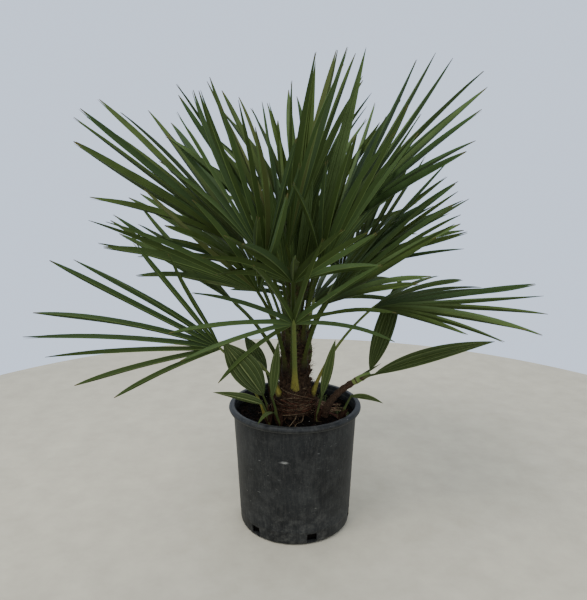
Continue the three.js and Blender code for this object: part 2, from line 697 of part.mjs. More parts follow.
const stemLimb = shootStemLimb();
takeLimb('shoot_stem_right', stemLimb);
addNode('shoot_stem_right', loft(stemLimb.rings), STEM_BROWN, 0.8);

[SPEAR, ...CROWN, ...SHOOTS].forEach((leaf) => takeLimb(leaf.name, petioleLimb(leaf)));
addNode(SPEAR.name, lanceGeometry(SPEAR), GREEN, 0.6);
CROWN.forEach((frond, index) => addNode(frond.name, frondGeometry(frond, index + 1), GREEN, 0.6));
SHOOTS.forEach((leaf) => addNode(leaf.name, lanceGeometry(leaf), YOUNG_GREEN, 0.6));

export default palm;
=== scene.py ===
"""Potted European fan palm: a young clump of Chamaerops humilis in a round nursery pot.

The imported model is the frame. Sizes and places in this file are millimetres, +Z up, with the
pot's axis as the Z axis and its underside at Z = 0. Meshes are made in metres.
"""

import logging
import math
import random
from dataclasses import dataclass, field
from enum import Enum
from typing import Callable, ClassVar, Sequence

import bmesh
import bpy
from bpy.types import ID, Material, Mesh, Node, NodeSocket, NodeTree, Object
from mathutils import Matrix, Vector, noise


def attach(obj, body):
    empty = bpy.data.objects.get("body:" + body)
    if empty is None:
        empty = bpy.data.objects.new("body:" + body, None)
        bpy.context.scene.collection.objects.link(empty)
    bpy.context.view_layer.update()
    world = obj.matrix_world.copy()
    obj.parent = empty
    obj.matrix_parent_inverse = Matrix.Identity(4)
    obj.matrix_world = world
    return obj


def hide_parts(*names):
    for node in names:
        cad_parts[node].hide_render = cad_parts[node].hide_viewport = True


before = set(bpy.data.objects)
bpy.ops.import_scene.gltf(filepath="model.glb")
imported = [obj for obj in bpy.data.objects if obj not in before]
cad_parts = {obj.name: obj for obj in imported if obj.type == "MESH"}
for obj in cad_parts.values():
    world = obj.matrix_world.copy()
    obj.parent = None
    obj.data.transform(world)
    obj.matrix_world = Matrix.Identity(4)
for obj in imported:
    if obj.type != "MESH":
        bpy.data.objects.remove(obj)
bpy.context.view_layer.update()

LOG = logging.getLogger("fan_palm")
MM = 0.001
UP = Vector((0.0, 0.0, 1.0))
BODY = "root"
GOLDEN_TURN = 137.5

Point = Sequence[float]


class Slot(Enum):
    """The record's material slots."""

    POT = "pot"
    SOIL = "soil"
    TRUNK = "trunk"
    STEM = "young_stem"
    FROND = "frond"
    YOUNG_LEAF = "young_leaf"


# Nodes, meshes and trees


def linear(colour: str) -> tuple[float, float, float, float]:
    """Turns an sRGB hex colour to linear values.

    Args:
        colour: Six hex digits after a hash.

    Returns:
        Red, green, blue and an alpha of 1.
    """
    parts = [int(colour[i : i + 2], 16) / 255 for i in (1, 3, 5)]
    red, green, blue = (p / 12.92 if p <= 0.04045 else ((p + 0.055) / 1.055) ** 2.4 for p in parts)
    return red, green, blue, 1.0


def add_node(tree: NodeTree, kind: str, inputs: dict | None = None, **settings) -> Node:
    """Adds a node with its settings and its linked or plain inputs.

    Args:
        tree: The node tree that takes it.
        kind: The node's type.
        inputs: Values, sockets, or nodes that lend their first open output, by the input's
            identifier or else its name.
        settings: Properties of the node.

    Returns:
        The new node.
    """
    node = tree.nodes.new(kind)
    for key, value in settings.items():
        setattr(node, key, value)
    for key, value in (inputs or {}).items():
        named = [s for s in node.inputs if s.identifier == key]
        socket = (named or [s for s in node.inputs if s.name == key and s.enabled])[0]
        if isinstance(value, Node):
            value = next(s for s in value.outputs if s.enabled)
        if isinstance(value, NodeSocket):
            tree.links.new(value, socket)
        else:
            socket.default_value = value
    return node


def link_object(name: str, data: ID) -> Object:
    """Puts a mesh, a light or a camera into the scene as an object at the origin."""
    made = bpy.data.objects.new(name, data)
    bpy.context.scene.collection.objects.link(made)
    return made


def smooth(mesh: Mesh, angle: float = 40.0) -> None:
    """Shades a mesh smooth, apart from edges sharper than an angle in degrees."""
    mesh.shade_smooth()
    mesh.set_sharp_from_angle(angle=math.radians(angle))


def hand_over(piece: Object, nodes: Sequence[str] = ()) -> None:
    """Rides a finished piece on the plant's body and says what it stands for.

    Args:
        piece: The finished object.
        nodes: The CAD nodes that it replaces.
    """
    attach(piece, BODY)
    if nodes:
        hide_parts(*nodes)
    piece.data.calc_loop_triangles()
    LOG.info("%s: %d triangles", piece.name, len(piece.data.loop_triangles))


class LineSet:
    """Lines in millimetres with values at each point, which a node tree turns to shapes."""

    def __init__(self) -> None:
        """Starts with no lines."""
        self.points: list[Vector] = []
        self.edges: list[tuple[int, int]] = []
        self.values: dict[str, list] = {}

    def add(self, points: Sequence[Vector], **values) -> None:
        """Adds one open line, or one lone point.

        Args:
            points: Its points in order.
            values: A list with a value for each point, or one value for all, by attribute name.
        """
        first = len(self.points)
        self.points.extend(points)
        self.edges.extend((first + i, first + i + 1) for i in range(len(points) - 1))
        for name, value in values.items():
            spread = value if isinstance(value, list) else [value] * len(points)
            self.values.setdefault(name, []).extend(spread)

    def trace(self, rows: Sequence[tuple[Vector, float, Vector, float]], **values) -> None:
        """Adds one line to be swept.

        Args:
            rows: The place, half width, width's direction and share of the way of each point.
            values: One more value for all points, by attribute name.
        """
        points, widths, ways, alongs = (list(column) for column in zip(*rows))
        widths = [width * MM for width in widths]
        self.add(points, half_width=widths, width_way=ways, along=alongs, **values)

    def to_object(self, name: str, closed: bool = False, scale: float = MM) -> Object:
        """Makes an object of edges with the values as attributes.

        Args:
            name: The object's name.
            closed: Whether the last point joins the first.
            scale: What a point's place is multiplied by.

        Returns:
            The new object.
        """
        mesh = bpy.data.meshes.new(name)
        edges = self.edges + ([(len(self.points) - 1, 0)] if closed else [])
        mesh.from_pydata([p * scale for p in self.points], edges, [])
        for key, values in self.values.items():
            vector = isinstance(values[0], Vector)
            layer = mesh.attributes.new(key, "FLOAT_VECTOR" if vector else "FLOAT", "POINT")
            flat = [c for v in values for c in v] if vector else values
            layer.data.foreach_set("vector" if vector else "value", flat)
        return link_object(name, mesh)


def level_ring(
    radius_at: Callable[[float], float], height: float, sides: int
) -> list[tuple[float, float, float]]:
    """Gives one level ring of points about the Z axis.

    Args:
        radius_at: Gives the radius at an angle in radians.
        height: The ring's height.
        sides: How many points it has.

    Returns:
        The ring's points.
    """
    ring = []
    for side in range(sides):
        angle = math.tau * side / sides
        radius = radius_at(angle)
        ring.append((radius * math.cos(angle), radius * math.sin(angle), height))
    return ring


def ring_mesh(name: str, rings: Sequence[Sequence[Point]], ends: bool = False) -> Mesh:
    """Makes a skin through rings of points, each ring counter-clockwise seen from ahead of it.

    Args:
        name: The mesh's name.
        rings: Rings with the same number of points, in millimetres.
        ends: Whether one face closes the first ring and one the last.

    Returns:
        The new mesh, in metres.
    """
    sides = len(rings[0])
    faces = []
    for ring in range(len(rings) - 1):
        for side in range(sides):
            a, b = ring * sides + side, ring * sides + (side + 1) % sides
            faces.append((a, b, b + sides, a + sides))
    if ends:
        last = (len(rings) - 1) * sides
        faces.append(tuple(reversed(range(sides))))
        faces.append(tuple(range(last, last + sides)))
    mesh = bpy.data.meshes.new(name)
    mesh.from_pydata([tuple(c * MM for c in p) for ring in rings for p in ring], [], faces)
    return mesh


class Tree:
    """A Geometry Nodes tree with named inputs."""

    def __init__(self, name: str, sockets: dict[str, str], reads: dict[str, str]) -> None:
        """Makes the tree's inputs and reads the values that its points carry.

        Args:
            name: The tree's name.
            sockets: The kind of each input after the geometry, by name.
            reads: The kind of each carried value, by attribute name.
        """
        self.group = bpy.data.node_groups.new(name, "GeometryNodeTree")
        face = self.group.interface
        face.new_socket("Geometry", in_out="INPUT", socket_type="NodeSocketGeometry")
        face.new_socket("Geometry", in_out="OUTPUT", socket_type="NodeSocketGeometry")
        self.keys: dict[str, str] = {}
        for label, kind in sockets.items():
            made = face.new_socket(label, in_out="INPUT", socket_type=f"NodeSocket{kind}")
            self.keys[label] = made.identifier
        self.inlet = add_node(self.group, "NodeGroupInput").outputs
        self.carried = {
            key: add_node(self.group, "GeometryNodeInputNamedAttribute", {"Name": key}, data_type=kind)
            for key, kind in {"tone": "FLOAT", **reads}.items()
        }

    def close(self, geometry: Node, finishes: Sequence[str]) -> None:
        """Realizes the instances, sets the materials by tone and leads to the output.

        Args:
            geometry: The node that makes the last shape.
            finishes: The material's input for each tone, or one that covers all.
        """
        last = add_node(self.group, "GeometryNodeRealizeInstances", {"Geometry": geometry})
        for index, finish in enumerate(finishes):
            inputs = {"Geometry": last, "Material": self.inlet[finish]}
            if len(finishes) > 1:
                inputs["Selection"] = add_node(
                    self.group, "FunctionNodeCompare",
                    {"A": self.carried["tone"], "B": float(index), "Epsilon": 0.4},
                    operation="EQUAL", data_type="FLOAT",
                )
            last = add_node(self.group, "GeometryNodeSetMaterial", inputs)
        add_node(self.group, "NodeGroupOutput", {"Geometry": last})

    def run(self, source: Object, name: str, values: dict) -> Object:
        """Runs the tree on an object and keeps the result as a plain, smooth mesh.

        Args:
            source: The object that it works on.
            name: The new piece's name.
            values: The tree's inputs by name.

        Returns:
            The new piece.
        """
        modifier = source.modifiers.new("tree", "NODES")
        modifier.node_group = self.group
        for label, value in values.items():
            modifier[self.keys[label]] = value
        graph = bpy.context.evaluated_depsgraph_get()
        mesh = bpy.data.meshes.new_from_object(
            source.evaluated_get(graph), preserve_all_data_layers=True, depsgraph=graph
        )
        source.modifiers.remove(modifier)
        mesh.name = name
        smooth(mesh)
        return link_object(name, mesh)

    def run_on_lines(self, lines: LineSet, name: str, values: dict) -> Object:
        """Runs the tree on lines or lone points, which leave no object behind.

        Args:
            lines: The lines or points with the values that the tree reads.
            name: The new piece's name.
            values: The tree's inputs by name.

        Returns:
            The new piece.
        """
        source = lines.to_object(name + "_lines")
        made = self.run(source, name, values)
        bpy.data.objects.remove(source)
        return made


class SweepTree(Tree):
    """Sweeps a profile along lines, with its size and its width's direction given at each point."""

    FINISHES = ("Finish 0", "Finish 1", "Finish 2", "Finish 3")

    def __init__(self) -> None:
        """Builds the tree: the profile's x runs along width_way, scaled by half_width."""
        super().__init__(
            "sweep along lines", {"Profile": "Object", **dict.fromkeys(self.FINISHES, "Material")},
            {"half_width": "FLOAT", "width_way": "FLOAT_VECTOR"},
        )
        group = self.group
        lines = add_node(group, "GeometryNodeMeshToCurve", {"Mesh": self.inlet["Geometry"]})
        turned = add_node(group, "GeometryNodeSetCurveNormal", {
            "Curve": lines, "Normal": self.carried["width_way"],
        }, mode="FREE")
        shape = add_node(group, "GeometryNodeObjectInfo", {"Object": self.inlet["Profile"]})
        profile = add_node(group, "GeometryNodeMeshToCurve", {"Mesh": shape.outputs["Geometry"]})
        swept = add_node(group, "GeometryNodeCurveToMesh", {
            "Curve": turned, "Profile Curve": profile, "Scale": self.carried["half_width"],
            "Fill Caps": True,
        })
        self.close(swept, self.FINISHES)


class PlaceTree(Tree):
    """Sets a copy of a shape on each point, aimed and sized by the point's own values."""

    def __init__(self) -> None:
        """Builds the tree: a copy's Z axis follows aim, and size scales it."""
        super().__init__(
            "copies on points", {"Shape": "Object", "Finish": "Material"},
            {"aim": "FLOAT_VECTOR", "size": "FLOAT"},
        )
        group = self.group
        turned = add_node(
            group, "FunctionNodeAlignRotationToVector", {"Vector": self.carried["aim"]}, axis="Z"
        )
        shape = add_node(group, "GeometryNodeObjectInfo", {"Object": self.inlet["Shape"]})
        copies = add_node(group, "GeometryNodeInstanceOnPoints", {
            "Points": self.inlet["Geometry"], "Instance": shape.outputs["Geometry"],
            "Rotation": turned, "Scale": self.carried["size"],
        })
        self.close(copies, ["Finish"])


class ScatterTree(Tree):
    """Strews copies of a shape over a surface, each turned and sized by a seeded draw."""

    def __init__(self) -> None:
        """Builds the tree. Stand, Spread and Rise weigh the surface's normal, chance and height."""
        super().__init__("copies over a surface", {
            "Shape": "Object", "Density": "Float", "Seed": "Int", "Stand": "Float", "Rise": "Float",
            "Spread": "Float", "Smallest": "Float", "Largest": "Float", "Finish": "Material",
        }, {"cover": "FLOAT"})
        group, inlet = self.group, self.inlet
        density = add_node(group, "ShaderNodeMath", {
            "Value": self.carried["cover"], "Value_001": inlet["Density"],
        }, operation="MULTIPLY")
        points = add_node(group, "GeometryNodeDistributePointsOnFaces", {
            "Mesh": inlet["Geometry"], "Density": density, "Seed": inlet["Seed"],
        })
        stray, spin = (
            add_node(group, "FunctionNodeRandomValue", {
                "Min": least, "Max": most, "Seed": inlet["Seed"],
            }, data_type="FLOAT_VECTOR")
            for least, most in (((-1, -1, -1), (1, 1, 1)), ((0, 0, 0), (0, 0, math.tau)))
        )
        outward, sideways = (
            add_node(group, "ShaderNodeVectorMath", {
                "Vector": way, "Scale": inlet[weight],
            }, operation="SCALE")
            for way, weight in ((points.outputs["Normal"], "Stand"), (stray, "Spread"))
        )
        upward = add_node(group, "ShaderNodeCombineXYZ", {"Z": inlet["Rise"]})
        aim = outward
        for way in (sideways, upward):
            aim = add_node(group, "ShaderNodeVectorMath", {
                "Vector": aim, "Vector_001": way,
            }, operation="ADD")
        spun = add_node(group, "FunctionNodeEulerToRotation", {"Euler": spin})
        aimed = add_node(group, "FunctionNodeAlignRotationToVector", {
            "Rotation": spun, "Vector": aim,
        }, axis="Z")
        size = add_node(group, "FunctionNodeRandomValue", {
            "Min_001": inlet["Smallest"], "Max_001": inlet["Largest"], "Seed": inlet["Seed"],
        }, data_type="FLOAT")
        shape = add_node(group, "GeometryNodeObjectInfo", {"Object": inlet["Shape"]})
        copies = add_node(group, "GeometryNodeInstanceOnPoints", {
            "Points": points, "Instance": shape.outputs["Geometry"], "Rotation": aimed, "Scale": size,
        })
        self.close(copies, ["Finish"])


# Finishes


def per_mm(size: float) -> float:
    """Gives the texture scale whose features are about a size in millimetres."""
    return 1.0 / (size * MM)


def lay_colours(
    tree: NodeTree, ground: Node | tuple[float, float, float, float], layers: Sequence[tuple[Node, str]]
) -> Node:
    """Lays colours over a ground one after another, each as far as its share says.

    Args:
        tree: The material's tree.
        ground: The lowest colour, linear or from a node.
        layers: The node that gives the share and the sRGB hex colour of each, the lowest first.

    Returns:
        The node that gives the uppermost colour.
    """
    for share, colour in layers:
        ground = add_node(tree, "ShaderNodeMix", {
            "Factor_Float": share, "A_Color": ground, "B_Color": linear(colour),
        }, data_type="RGBA")
    return ground


@dataclass(frozen=True)
class Finish:
    """A named finish on a Principled shader, with its common values."""

    name: str
    roughness: float = 0.5
    ior: float = 1.45
    gloss: float = 0.18

    def begin(self) -> tuple[NodeTree, NodeSocket]:
        """Starts the material.

        Returns:
            The tree and the socket with the place on the object in metres.
        """
        material = bpy.data.materials.get(self.name) or bpy.data.materials.new(self.name)
        material.use_nodes = True
        tree = material.node_tree
        tree.nodes.clear()
        return tree, add_node(tree, "ShaderNodeTexCoord").outputs["Object"]

    def end(
        self, tree: NodeTree, colour: Node, height: Node, strength: float, depth: float,
        worn: tuple[Node, float, float] | None = None,
    ) -> Material:
        """Adds the shader with its colour, relief and wear.

        Args:
            tree: The material's tree.
            colour: The node that gives the colour.
            height: The node that raises the surface.
            strength: The relief's strength.
            depth: The relief's depth in millimetres.
            worn: The node that the roughness follows, and how far it goes down and up.

        Returns:
            The finished material.
        """
        relief = add_node(tree, "ShaderNodeBump", {
            "Height": height, "Strength": strength, "Distance": depth * MM,
        })
        inputs = {
            "Base Color": colour, "Normal": relief, "Roughness": self.roughness, "IOR": self.ior,
            "Specular IOR Level": self.gloss,
        }
        if worn:
            inputs["Roughness"] = add_node(tree, "ShaderNodeMapRange", {
                "Value": worn[0], "To Min": self.roughness - worn[1], "To Max": self.roughness + worn[2],
            })
        shader = add_node(tree, "ShaderNodeBsdfPrincipled", inputs)
        add_node(tree, "ShaderNodeOutputMaterial", {"Surface": shader})
        return bpy.data.materials[self.name]


@dataclass(frozen=True)
class LeafSkin(Finish):
    """Waxy palm leaf: deep green with fine long veins, a pale rib and a duller, bluer underside.

    base_light is the share of the upper green at the blade's root, the rest there being painted
    shade, rib_sharpness how narrow the pale rib is, and veins how close the veins lie. They are
    drawn coarser than real ones, which are finer than the picture shows.
    """

    upper: str = "#3c5a2a"
    shade: str = "#2c4722"
    under: str = "#303d1f"
    rib: str = "#596836"
    tip: str = "#574a28"
    base_light: float = 0.0
    rib_sharpness: float = 14.0
    veins: float = 30.0
    roughness: float = 0.58
    gloss: float = 0.11

    def build(self) -> Material:
        """Makes the material from the blade's own along, across, rib, face and side values.

        Returns:
            The material.
        """
        tree, place = self.begin()
        along, across, rib, face, side = (
            add_node(tree, "ShaderNodeAttribute", attribute_name=key).outputs["Fac"]
            for key in ("along", "across", "rib", "face", "side")
        )
        cloud = add_node(tree, "ShaderNodeTexNoise", {"Vector": place, "Scale": per_mm(38.0), "Detail": 3.0})
        # Painted shade: toward the hub the leaflet's root takes less of the upper green and more of the shade
        # green, on top of the random mottle.
        painted_root_shade = add_node(tree, "ShaderNodeMapRange", {
            "Value": along, "From Min": 0.1, "From Max": 0.6, "To Min": self.base_light, "To Max": 1.3,
        })
        mottle_and_root_shade = add_node(
            tree, "ShaderNodeMath", {"Value": cloud, "Value_001": painted_root_shade}, operation="MULTIPLY", use_clamp=True
        )
        turned, phase = (
            add_node(tree, "ShaderNodeMath", {"Value": one, "Value_001": other}, operation="MULTIPLY")
            for one, other in ((face, side), (across, self.veins))
        )
        below = add_node(tree, "ShaderNodeMath", {"Value": turned, "Value_001": -0.05}, operation="LESS_THAN")
        vein = add_node(tree, "ShaderNodeMath", {"Value": phase}, operation="SINE")
        lined = add_node(tree, "ShaderNodeMapRange", {"Value": vein, "From Min": -1.0, "To Max": 0.12})
        keen = add_node(
            tree, "ShaderNodeMath", {"Value": rib, "Value_001": self.rib_sharpness}, operation="POWER"
        )
        dry = add_node(tree, "ShaderNodeMapRange", {
            "Value": along, "From Min": 0.955, "From Max": 0.995, "To Max": 0.8,
        })
        colour = lay_colours(tree, linear(self.shade), (
            (mottle_and_root_shade, self.upper), (below, self.under), (lined, self.rib), (keen, self.rib), (dry, self.tip),
        ))
        return self.end(tree, colour, vein, 0.12, 0.1, (cloud, 0.1, 0.14))


@dataclass(frozen=True)
class StalkSkin(Finish):
    """Smooth petiole rind: yellow-green toward its swollen foot, greener toward the blade.

    stops are the shares of its length where the foot's colour ends, and where the low green ends
    and the high green begins.
    """

    foot: str = "#1e150e"
    low: str = "#5f6526"
    high: str = "#34461f"
    stops: tuple[float, float, float] = (0.03, 0.08, 0.26)
    roughness: float = 0.58
    gloss: float = 0.1

    def build(self) -> Material:
        """Makes the material with its colours along the stalk and fine flecks.

        Returns:
            The material.
        """
        tree, place = self.begin()
        along = add_node(tree, "ShaderNodeAttribute", attribute_name="along").outputs["Fac"]
        ramp = add_node(tree, "ShaderNodeValToRGB", {"Fac": along})
        colours = (self.foot, self.low, self.low, self.high)
        stops = tuple(zip((0.0, *self.stops), colours))
        while len(ramp.color_ramp.elements) < len(stops):
            ramp.color_ramp.elements.new(0.5)
        for element, (spot, colour) in zip(ramp.color_ramp.elements, stops):
            element.position = spot
            element.color = linear(colour)
        fleck = add_node(tree, "ShaderNodeTexNoise", {"Vector": place, "Scale": per_mm(3.0), "Detail": 4.0})
        mottled = add_node(tree, "ShaderNodeMapRange", {
            "Value": fleck, "From Min": 0.35, "From Max": 0.75, "To Max": 0.3,
        })
        return self.end(tree, lay_colours(tree, ramp, [(mottled, self.foot)]), fleck, 0.3, 0.2)


@dataclass(frozen=True)
class RoughMix(Finish):
    """A rough natural stuff in two colours, mottled and streaked, such as fibre, bark or peat.

    grain is the size of its features, stretch how the place is scaled before them, depth the
    relief, and contrast the part of the noise that goes from dark to light.
    """

    dark: str = "#2a1d14"
    light: str = "#5b4330"
    grain: float = 4.0
    stretch: tuple[float, float, float] = (1.0, 1.0, 1.0)
    depth: float = 0.8
    contrast: tuple[float, float] = (0.35, 0.65)
    roughness: float = 0.95
    gloss: float = 0.06

    def build(self) -> Material:
        """Makes the material with its grain stretched along an axis.

        Returns:
            The material.
        """
        tree, place = self.begin()
        scaled = add_node(tree, "ShaderNodeMapping", {"Vector": place, "Scale": self.stretch})
        coarse = add_node(tree, "ShaderNodeTexNoise", {
            "Vector": scaled, "Scale": per_mm(self.grain), "Detail": 8.0, "Roughness": 0.65,
        })
        level = add_node(tree, "ShaderNodeMapRange", {
            "Value": coarse, "From Min": self.contrast[0], "From Max": self.contrast[1],
        })
        colour = lay_colours(tree, linear(self.dark), [(level, self.light)])
        return self.end(tree, colour, coarse, 0.7, self.depth)


@dataclass(frozen=True)
class Mark:
    """One kind of mark on the pot: a noise, and the span of it over which the mark comes up.

    size is that of its features, detail and rough are the noise's own, most is the share of the
    mark's colour, and stretch how the place is scaled before the noise.
    """

    size: float
    detail: float
    rough: float
    span: tuple[float, float]
    most: float = 1.0
    stretch: tuple[float, float, float] = (1.0, 1.0, 1.0)

    def lay(self, tree: NodeTree, place: NodeSocket) -> tuple[Node, Node]:
        """Adds the mark's pattern to a material.

        Args:
            tree: The material's tree.
            place: The place on the object.

        Returns:
            The nodes that give the noise and the mark's share.
        """
        scaled = add_node(tree, "ShaderNodeMapping", {"Vector": place, "Scale": self.stretch})
        pattern = add_node(tree, "ShaderNodeTexNoise", {
            "Vector": scaled, "Scale": per_mm(self.size), "Detail": self.detail, "Roughness": self.rough,
        })
        share = add_node(tree, "ShaderNodeMapRange", {
            "Value": pattern, "From Min": self.span[0], "From Max": self.span[1], "To Max": self.most,
        })
        return pattern, share


@dataclass(frozen=True)
class MouldedPolyethylene(Finish):
    """Blow-moulded black polyethylene gone grey: dull, dusty in patches, scuffed and splashed.

    lip_edge is the height of the lip's rubbed lower edge, and scuff_at and scuff_size the place
    and the closeness of the one large scuff. Below dusty_to the wall is dustier.
    """

    base: str = "#121313"
    bloom: str = "#232423"
    dust: str = "#51504a"
    scratch: str = "#94928a"
    dusty_to: float = 80.0
    lip_edge: tuple[float, float] = (197.4, 199.6)
    scuff_at: tuple[float, float, float] = (-17.0, -101.0, 146.0)
    scuff_size: tuple[float, float, float] = (0.11, 0.11, 0.36)
    marks: tuple[Mark, ...] = (
        Mark(55.0, 6.0, 0.5, (0.35, 0.7)),  # bloom in clouds
        Mark(13.0, 9.0, 0.75, (0.47, 0.66)),  # splashes of soil
        Mark(3.4, 6.0, 0.7, (0.45, 0.75), 0.22, (1.0, 1.0, 0.14)),  # streaks that ran down
        Mark(2.6, 3.0, 0.8, (0.58, 0.7), 0.4),  # specks
        Mark(5.0, 2.0, 0.5, (0.73, 0.79), 0.55, (0.4, 0.4, 2.4)),  # level scuffs
    )
    roughness: float = 0.5
    ior: float = 1.5

    def build(self) -> Material:
        """Makes the material: bloom in clouds, dust low on the wall, scuffs and specks.

        Returns:
            The material.
        """
        tree, place = self.begin()
        laid = [mark.lay(tree, place) for mark in self.marks]
        clouded, splashed, streaked, specked, scuffed = (share for _, share in laid)
        splash, speck = laid[1][0], laid[3][0]
        height = add_node(tree, "ShaderNodeSeparateXYZ", {"Vector": place}).outputs["Z"]
        low = add_node(tree, "ShaderNodeMapRange", {
            "Value": height, "From Max": self.dusty_to * MM, "To Min": 0.6, "To Max": 0.22,
        })
        edge = add_node(tree, "ShaderNodeMapRange", {
            "Value": height, "From Min": self.lip_edge[0] * MM, "From Max": self.lip_edge[1] * MM,
            "To Max": math.pi,
        })
        rubbed = add_node(tree, "ShaderNodeMath", {"Value": edge}, operation="SINE")
        offset = add_node(tree, "ShaderNodeMapping", {
            "Vector": place, "Scale": tuple(s / MM for s in self.scuff_size),
            "Location": tuple(-c * s for c, s in zip(self.scuff_at, self.scuff_size)),
        })
        reach = add_node(tree, "ShaderNodeVectorMath", {"Vector": offset}, operation="LENGTH")
        dusted, worn_edge, ragged = (
            add_node(tree, "ShaderNodeMath", {"Value": one, "Value_001": other}, operation="MULTIPLY")
            for one, other in ((splashed, low), (rubbed, splash), (speck, 1.4))
        )
        torn = add_node(tree, "ShaderNodeMath", {"Value": reach, "Value_001": ragged}, operation="ADD")
        grazed = add_node(tree, "ShaderNodeMapRange", {
            "Value": torn, "From Min": 0.7, "From Max": 1.7, "To Min": 0.85, "To Max": 0.0,
        })
        colour = lay_colours(tree, linear(self.base), (
            (clouded, self.bloom), (dusted, self.dust), (streaked, self.dust), (specked, self.dust),
            (scuffed, self.scratch), (worn_edge, self.dust), (grazed, self.scratch),
        ))
        skin = add_node(tree, "ShaderNodeTexNoise", {"Vector": place, "Scale": per_mm(1.6), "Detail": 4.0})
        return self.end(tree, colour, skin, 0.35, 0.15, (splash, 0.14, 0.22))


# The named finishes: each says what the real stuff is and how it came to look so.

# Palm leaf with a wax skin: a satin green that goes from deep to yellowish leaflet by leaflet, duller
# below, with veins so fine that they only break the sheen, and painted shade darkening the roots.
LEAF_GREENS = (
    LeafSkin("palm leaf, deep green", upper="#344724", shade="#1a260c", under="#2b3a1d"),
    LeafSkin("palm leaf, mid green", upper="#404e22", shade="#21290a", under="#2d3a16"),
    LeafSkin("palm leaf, fresh green", upper="#4b5b32", shade="#2c3817", under="#344420"),
    LeafSkin("palm leaf, yellowish green", upper="#575c33", shade="#3f3f1f", under="#404622"),
)
# Young undivided palm leaf, thinner and softer: a lighter green with pale veins along its pleats.
YOUNG_GREENS = tuple(
    LeafSkin(
        name, upper=upper, shade=shade, under=under, rib=rib, base_light=1.0, rib_sharpness=15.0, veins=60.0
    )
    for name, upper, shade, under, rib in (
        ("young palm leaf, bright green", "#313e17", "#243012", "#313d1d", "#757c4e"),
        ("young palm leaf, mid green", "#303c17", "#242e11", "#2f3a1a", "#6c7344"),
    )
)
# Living petiole rind, smooth and waxy: yellow-green at a low foot, plain green higher on the trunk.
PETIOLE_LOW = StalkSkin("petiole rind, yellow-green foot", low="#766f31", high="#56602f",
                        stops=(0.06, 0.2, 0.42))
PETIOLE_HIGH = StalkSkin("petiole rind, green", low="#363b17", high="#36421a", stops=(0.13, 0.19, 0.32))
YOUNG_PETIOLE = StalkSkin("young petiole rind, pale green", foot="#38231a", low="#434924", high="#343f1d",
                          stops=(0.26, 0.46, 0.72))
# Leaf sheath split and bleached round the shoot's tip: pale green that browns at its torn foot.
SHEATH_SKIN = StalkSkin("leaf sheath, pale green", foot="#54402a", low="#5f6a36", high="#5c6f38")
# Horny teeth on the petiole's margins: the same green gone straw-brown.
TOOTH_HORN = RoughMix("tooth, horny straw green", dark="#353817", light="#5c5f2c", grain=2.0, depth=0.1)
# Matted sheath fibres, weathered outdoors: dark and matt, streaked upright by the strands.
FIBRE_MAT = RoughMix("palm fibre mat, dark grey-brown", dark="#0a0705", light="#3f3124", grain=2.2,
                     stretch=(1, 1, 0.22), depth=1.2)
# Dead leaf bases, dried and broken off: weathered brown with a long coarse grain.
DEAD_BASE = RoughMix("dead leaf base, weathered brown", dark="#140e09", light="#4c3c2c", grain=1.6,
                     stretch=(1, 1, 0.3), depth=0.5)
# Loose fibres from torn leaf sheaths: hair-thin matt strands, from dark to reddish brown.
FIBRE_DARK = RoughMix("loose palm fibre, dark brown", dark="#1a120c", light="#5a4735", grain=6.0, depth=0.1)
FIBRE_RED = RoughMix("loose palm fibre, reddish brown", dark="#120c09", light="#33251c", grain=6.0, depth=0.1)
# Thin roots dried in the air: matt and wrinkled, from dark through reddish brown to tan.
ROOT_DARK = RoughMix("dry root, dark brown", dark="#1c140d", light="#433225", grain=4.0, depth=0.1)
ROOT_RED = RoughMix("dry root, reddish brown", dark="#2f1b13", light="#63402f", grain=4.0, depth=0.1)
ROOT_PALE = RoughMix("dry root, pale tan", dark="#514331", light="#847258", grain=4.0, depth=0.1)
# Stout living root at the surface, its bark still damp: matt rusty brown in blotches.
ROOT_RUST = RoughMix("stout root, rusty brown", dark="#30201a", light="#5e4236", grain=4.0, depth=0.2)
# Scale leaves round a young shoot's foot, dried and torn: papery red-brown with an upright grain.
SCALE_LEAF = RoughMix("dry scale leaf, torn red-brown", dark="#140c08", light="#3b281d", grain=1.4,
                      stretch=(1, 1, 0.2), depth=0.4)
# Bark of the bare young stem, ringed with scars: matt brown-grey in fine flakes.
STEM_BARK = RoughMix("young stem bark, brown-grey", dark="#130d09", light="#4a392b", grain=1.7,
                     stretch=(1, 1, 1.6), depth=0.6)
# Moist peat potting mix with composted bark: near-black crumbs and dark chips, matt all over.
POTTING_MIX = RoughMix("potting mix, near-black peat", dark="#040302", light="#100c08", grain=5.0, depth=1.6,
                       contrast=(0.42, 0.72))
BARK_CHIP = RoughMix("bark chip, dark brown", dark="#070504", light="#1f1610", grain=3.0, depth=0.5)
PEAT_CRUMB = RoughMix("peat crumb, black", dark="#040302", light="#0f0b08", grain=2.0, depth=0.5)
# Perlite, rock puffed up by heat: crumbly off-white grit, matt and pitted.
PERLITE = RoughMix("perlite grit, off-white", dark="#6b675c", light="#a5a093", grain=1.5, depth=0.3)
# Cushion moss on the damp mix: soft low tufts of yellowish green, mottled at random with a darker green as
# painted shade between the sprigs.
MOSS = RoughMix("cushion moss, green", dark="#2c371b", light="#66744a", grain=3.0, depth=0.2)
# Blow-moulded black polyethylene, used outdoors: dull, greyed in clouds, dusty and scuffed.
POT_WALL = MouldedPolyethylene("blow-moulded polyethylene, black gone grey")
# Matt emulsion on the studio's floor: pale and even, with a faint cloud.
FLOOR_PAINT = RoughMix("studio floor, pale matt paint", dark="#a39c89", light="#b0a995", grain=60.0,
                       depth=0.05, contrast=(0.3, 0.7), roughness=0.8)


# The palm's leaves


def pointing(turn: float, rise: float) -> Vector:
    """Gives a unit vector from a compass angle and a rise, in degrees."""
    level = math.cos(math.radians(rise))
    turn, rise = math.radians(turn), math.radians(rise)
    return Vector((level * math.cos(turn), level * math.sin(turn), math.sin(rise)))


